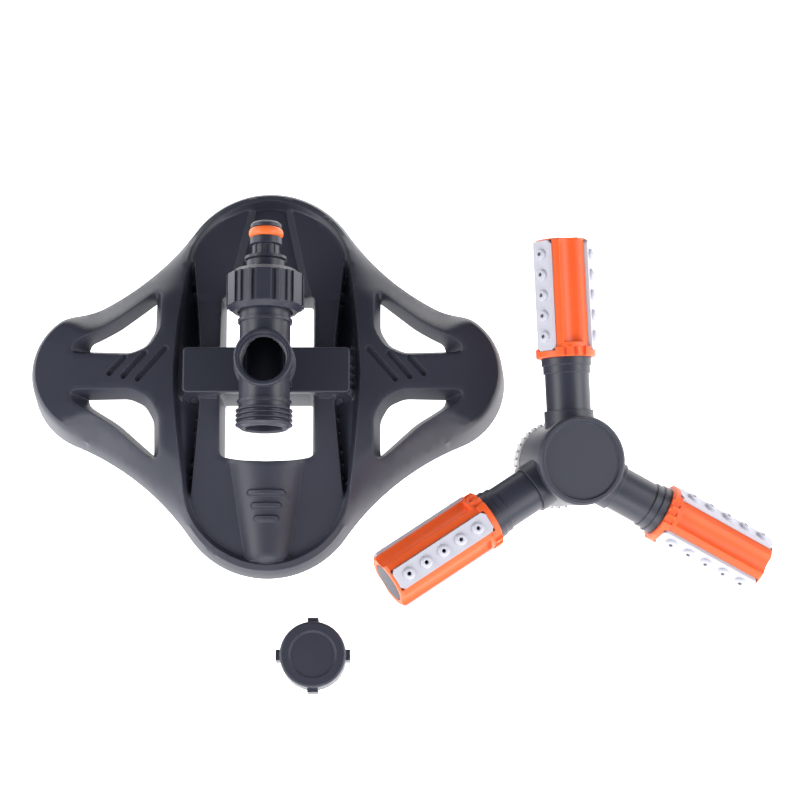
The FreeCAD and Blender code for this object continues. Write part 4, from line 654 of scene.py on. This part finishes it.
def base_moulding():
    """The outer skin, a second one under it, and the walls between them at the foot and each hole."""
    rings = slots + slot_loops(SLOT_R - SLOT_WALL) + bars + bar_loops(BAR_R - BAR_WALL)
    rings += [grown(crest, -CREST_WALL * share) for share in (0.0, 0.35, 0.65, 1.0)]
    rings += [grown(hole, RIM_ROUND * share) for hole in holes for share in (0.3, 1.0)]
    rings += rolled_lines(0.0, 0.0, 0.0) + rolled_lines(0.3, 0.0, 0.0)
    lines = [tongue_side(1), tongue_side(-1)]
    lines += [rail_line(sx, sy, out) for sx, sy in QUARTERS for out in (0.0, RAIL_WALL)]
    lines += [trough_side(side, inward) for side in (1, -1) for inward in (0.0, TROUGH_WALL)]
    lines += [chute_line(sx, sy, share) for sx, sy in QUARTERS for share in (0.0, 0.3, 0.6)]
    lines += rolled_lines(0.65, 0.6, 0.4) + rolled_lines(1.0, 0.6, 2.0)
    top, top_faces, top_loops = triangulated(outline, holes, rings, lines, TOP_STEP)
    top_z = base_height(top)
    top_z[top_loops[0]] = 0.0
    inset = grown(outline, -SHELL_WALL)
    wide_holes = [grown(hole, HOLE_WALL) for hole in holes]
    under, under_faces, under_loops = triangulated(inset, wide_holes, [], [], UNDER_STEP)
    under_z = np.maximum(base_height(under, False) - SHELL_WALL, UNDER_LEAST)
    verts = [(x * MM, y * MM, z * MM) for (x, y), z in zip(top, top_z)]
    faces = [tuple(face) for face in top_faces]
    shift = len(verts)
    verts += [(x * MM, y * MM, z * MM) for (x, y), z in zip(under, under_z)]
    faces += [tuple(shift + v for v in reversed(face)) for face in under_faces]

    def ring_at(points, heights):
        first = len(verts)
        verts.extend((p[0] * MM, p[1] * MM, float(z) * MM) for p, z in zip(points, heights))
        return list(range(first, first + len(points)))

    def join(a, b):
        for i in range(len(a)):
            j = (i + 1) % len(a)
            faces.append((a[i], a[j], b[j], b[i]))

    inner = [shift + v for v in under_loops[0]]
    inner_foot = ring_at(inset, np.zeros(len(inset)))
    join(inner, inner_foot)
    join(inner_foot, top_loops[0])
    for hole, upper, lower in zip(holes, top_loops[1:], under_loops[1:]):
        deep = LIP_DEEP if hole in windows else BASE_TOP
        lean = LIP_LEAN if hole in windows else WELL_LEAN
        feet = np.maximum(top_z[upper] - deep, 0.0)
        foot = ring_at([far_end_leaned(p) for p in grown(hole, -lean)], feet)
        back = ring_at([far_end_leaned(p) for p in grown(hole, HOLE_WALL - lean)], feet)
        join(upper, foot)
        join(foot, back)
        join(back, [shift + v for v in lower])
    mesh = bpy.data.meshes.new("base_moulding")
    mesh.from_pydata(verts, [], faces)
    shape = bmesh.new()
    shape.from_mesh(mesh)
    bmesh.ops.recalc_face_normals(shape, faces=shape.faces)
    shape.to_mesh(mesh)
    shape.free()
    mesh.shade_smooth()
    mesh.set_sharp_from_angle(angle=SHARP_TURN)
    piece = bpy.data.objects.new("base_moulding", mesh)
    bpy.context.scene.collection.objects.link(piece)
    return piece


base_piece = base_moulding()
base_piece.data.materials.append(shell_charcoal)
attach(base_piece, "base")
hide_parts("base_shell")


# --- Saddle plate and its screws ------------------------------------------------------------------
# The tee stands on a flat moulded bar across the basin. Two self-tapping steel screws, driven up
# through the base's bridge, hold the bar; their dull plating is a little cloudy.
finish_node("saddle_plate", charcoal("saddle_charcoal", 0.34, 0.44, 2200.0))
STEEL_DARK = (0.45, 0.45, 0.46)
STEEL_LIGHT = (0.58, 0.58, 0.60)
STEEL_EDGE = (0.75, 0.75, 0.76)
screw_steel = moulded("screw_steel", STEEL_DARK, STEEL_LIGHT, STEEL_EDGE, 0.25, 0.38, 5200.0, radius=0.0002)
screw_steel.node_tree.nodes["Principled BSDF"].inputs["Metallic"].default_value = 1.0
finish_node("saddle_screws", screw_steel)


# --- Tee ------------------------------------------------------------------------------------------
# The tee is the water body of the base: a hose thread behind, another in front for the cap, and the
# upright socket for the rotor. It comes from a smoother tool than the base, so it shines a little more.
finish_node("tee_body", charcoal("tee_charcoal", 0.28, 0.38, 3200.0, 0.0004))


# --- Hose nipple, its ring and the flat washer ----------------------------------------------------
# The nipple takes a quick hose connector. It is moulded in the same plastic as the tee, with an orange
# rubber ring in its groove, and a black rubber washer seals its flange against the tee's end.
finish_node("inlet_nipple", charcoal("nipple_charcoal", 0.28, 0.38, 3200.0, 0.0003))
SEAL_DARK = (0.92, 0.15, 0.025)
SEAL_LIGHT = (1.0, 0.20, 0.04)
SEAL_EDGE = (1.0, 0.32, 0.12)
finish_node("nipple_seal", moulded("seal_orange", SEAL_DARK, SEAL_LIGHT, SEAL_EDGE, 0.32, 0.42, 1800.0))
RUBBER_DARK = (0.012, 0.012, 0.013)
RUBBER_LIGHT = (0.020, 0.020, 0.021)
RUBBER_EDGE = (0.040, 0.040, 0.042)
washer_rubber = moulded("washer_rubber", RUBBER_DARK, RUBBER_LIGHT, RUBBER_EDGE, 0.60, 0.75, 1800.0)
finish_node("inlet_washer", washer_rubber)


# --- Inlet nut ------------------------------------------------------------------------------------
# The nut pulls the nipple onto the tee. Its barrel is moulded with pairs of grip ribs, whose edges carry a
# painted highlight in patches, partly wear.
finish_node("inlet_nut", charcoal("nut_charcoal", 0.32, 0.44, 2600.0, 0.0006))


# --- Stem, its flat seal and the lock ring --------------------------------------------------------
# The stem screws into the tee's socket over a flat rubber seal, and the rotor turns on its neck. The
# ring pressed on the neck is a milky grey plastic with fine teeth, to screw the rotor down by hand.
finish_node("stem", charcoal("stem_charcoal", 0.28, 0.38, 3200.0, 0.0003))
finish_node("stem_seal", washer_rubber)
MILKY_DARK = (0.42, 0.42, 0.44)
MILKY_LIGHT = (0.52, 0.52, 0.54)
MILKY_EDGE = (0.66, 0.66, 0.68)
ring_milky = moulded("ring_milky", MILKY_DARK, MILKY_LIGHT, MILKY_EDGE, 0.22, 0.34, 3800.0)
finish_node("lock_ring", ring_milky)


# --- Hub ------------------------------------------------------------------------------------------
# The hub is the drum of the rotor, with three sockets for the arms and a round lid with a raised rim.
# A white slip washer inside carries it on the stem's collar.
finish_node("hub_body", charcoal("hub_charcoal", 0.34, 0.44, 2600.0, 0.0005))
finish_node("hub_cover", charcoal("cover_charcoal", 0.38, 0.52, 2000.0, 0.0005))
ACETAL_DARK = (0.66, 0.66, 0.66)
ACETAL_LIGHT = (0.74, 0.74, 0.73)
ACETAL_EDGE = (0.82, 0.82, 0.81)
bearing_white = moulded("bearing_white", ACETAL_DARK, ACETAL_LIGHT, ACETAL_EDGE, 0.24, 0.32, 3800.0)
finish_node("bearing_washer", bearing_white)


# --- Arms -----------------------------------------------------------------------------------------
# Three short round tubes carry the water from the hub to the heads. Each has a rubber ring in a groove
# near its outer end, on which the head turns.
arm_charcoal = charcoal("arm_charcoal", 0.30, 0.40, 2800.0, 0.0004)
for number in (1, 2, 3):
    finish_node("arm_tube_%d" % number, arm_charcoal)
    finish_node("arm_seal_%d" % number, washer_rubber)


# --- Heads ----------------------------------------------------------------------------------------
# Each head is an orange carrier with three flat seats, and on each seat a soft grey strip with five domed
# nozzles. A charcoal plug in the tip of the arm keeps the head on.
ORANGE_DARK = (0.86, 0.105, 0.018)
ORANGE_LIGHT = (0.95, 0.135, 0.025)
ORANGE_EDGE = (1.0, 0.24, 0.08)
carrier_orange = moulded("carrier_orange", ORANGE_DARK, ORANGE_LIGHT, ORANGE_EDGE, 0.34, 0.44)
STRIP_DARK = (0.52, 0.52, 0.60)
STRIP_LIGHT = (0.60, 0.60, 0.68)
STRIP_EDGE = (0.76, 0.76, 0.80)
strip_grey = moulded("strip_grey", STRIP_DARK, STRIP_LIGHT, STRIP_EDGE, 0.50, 0.62, 2200.0, radius=0.0003)
plug_charcoal = charcoal("plug_charcoal", 0.36, 0.46, 2600.0, 0.0004)
for number in (1, 2, 3):
    finish_node("head_carrier_%d" % number, carrier_orange)
    finish_node("nozzle_strips_%d" % number, strip_grey)
    finish_node("head_plug_%d" % number, plug_charcoal)


# --- Outlet cap -----------------------------------------------------------------------------------
# The cap closes the tee's front thread when no second sprinkler follows. It has four grip lugs round
# its edge and a rubber washer inside.
finish_node("outlet_cap", charcoal("cap_charcoal", 0.34, 0.46, 2400.0, 0.0005))
finish_node("cap_washer", washer_rubber)


# --- Floor, lights and camera ---------------------------------------------------------------------
# A pale sheet lies under everything. Two tall softboxes stand at the sides and one in front of the
# base, so the upright and sloping faces catch the light and the level ones stay dark.
floor_mesh = bpy.data.meshes.new("studio_floor")
FLOOR_HALF = 3.0
floor_mesh.from_pydata(
    [(-FLOOR_HALF, -FLOOR_HALF, 0.0), (FLOOR_HALF, -FLOOR_HALF, 0.0),
     (FLOOR_HALF, FLOOR_HALF, 0.0), (-FLOOR_HALF, FLOOR_HALF, 0.0)],
    [],
    [(0, 1, 2, 3)],
)
floor = bpy.data.objects.new("studio_floor", floor_mesh)
bpy.context.scene.collection.objects.link(floor)
floor_paper = bpy.data.materials.new("floor_paper")
floor_paper.use_nodes = True
paper_shader = floor_paper.node_tree.nodes["Principled BSDF"]
paper_shader.inputs["Base Color"].default_value = (0.93, 0.93, 0.93, 1.0)
paper_shader.inputs["Roughness"].default_value = 0.9
paper_shader.inputs["Emission Color"].default_value = (1.0, 1.0, 1.0, 1.0)
paper_shader.inputs["Emission Strength"].default_value = 1.7
floor_mesh.materials.append(floor_paper)

world = bpy.data.worlds.new("studio")
world.use_nodes = True
world.node_tree.nodes["Background"].inputs["Color"].default_value = (0.93, 0.94, 1.0, 1.0)
world.node_tree.nodes["Background"].inputs["Strength"].default_value = 0.11
bpy.context.scene.world = world

OBJECT_MIDDLE = (Vector(cad_low) + Vector(cad_high)) / 2


def softbox(name, away, wide, high, power):
    light = bpy.data.lights.new(name, "AREA")
    light.shape = "RECTANGLE"
    light.size = wide
    light.size_y = high
    light.energy = power
    holder = bpy.data.objects.new(name, light)
    holder.location = OBJECT_MIDDLE + Vector(away)
    holder.rotation_euler = Vector(away).to_track_quat("Z", "Y").to_euler()
    bpy.context.scene.collection.objects.link(holder)


softbox("softbox_left", (-1.25, -0.15, 0.75), 1.5, 0.9, 20.0)
softbox("softbox_right", (1.25, -0.15, 0.75), 1.5, 0.9, 20.0)
softbox("softbox_front", (0.0, -1.3, 0.7), 1.5, 0.8, 16.0)

CAMERA_TILT = math.radians(78.0)
CAMERA_AWAY = 1.2
camera_data = bpy.data.cameras.new("camera")
CAMERA_LENS = 113.0
camera_data.lens = CAMERA_LENS
camera = bpy.data.objects.new("camera", camera_data)
look_at = Vector((0.0624, -0.0078, 0.0))
camera.location = look_at + CAMERA_AWAY * Vector((0.0, -math.cos(CAMERA_TILT), math.sin(CAMERA_TILT)))
camera.rotation_euler = (math.pi / 2 - CAMERA_TILT, 0.0, 0.0)
bpy.context.scene.collection.objects.link(camera)
bpy.context.scene.camera = camera
bpy.context.scene.view_settings.view_transform = "Standard"
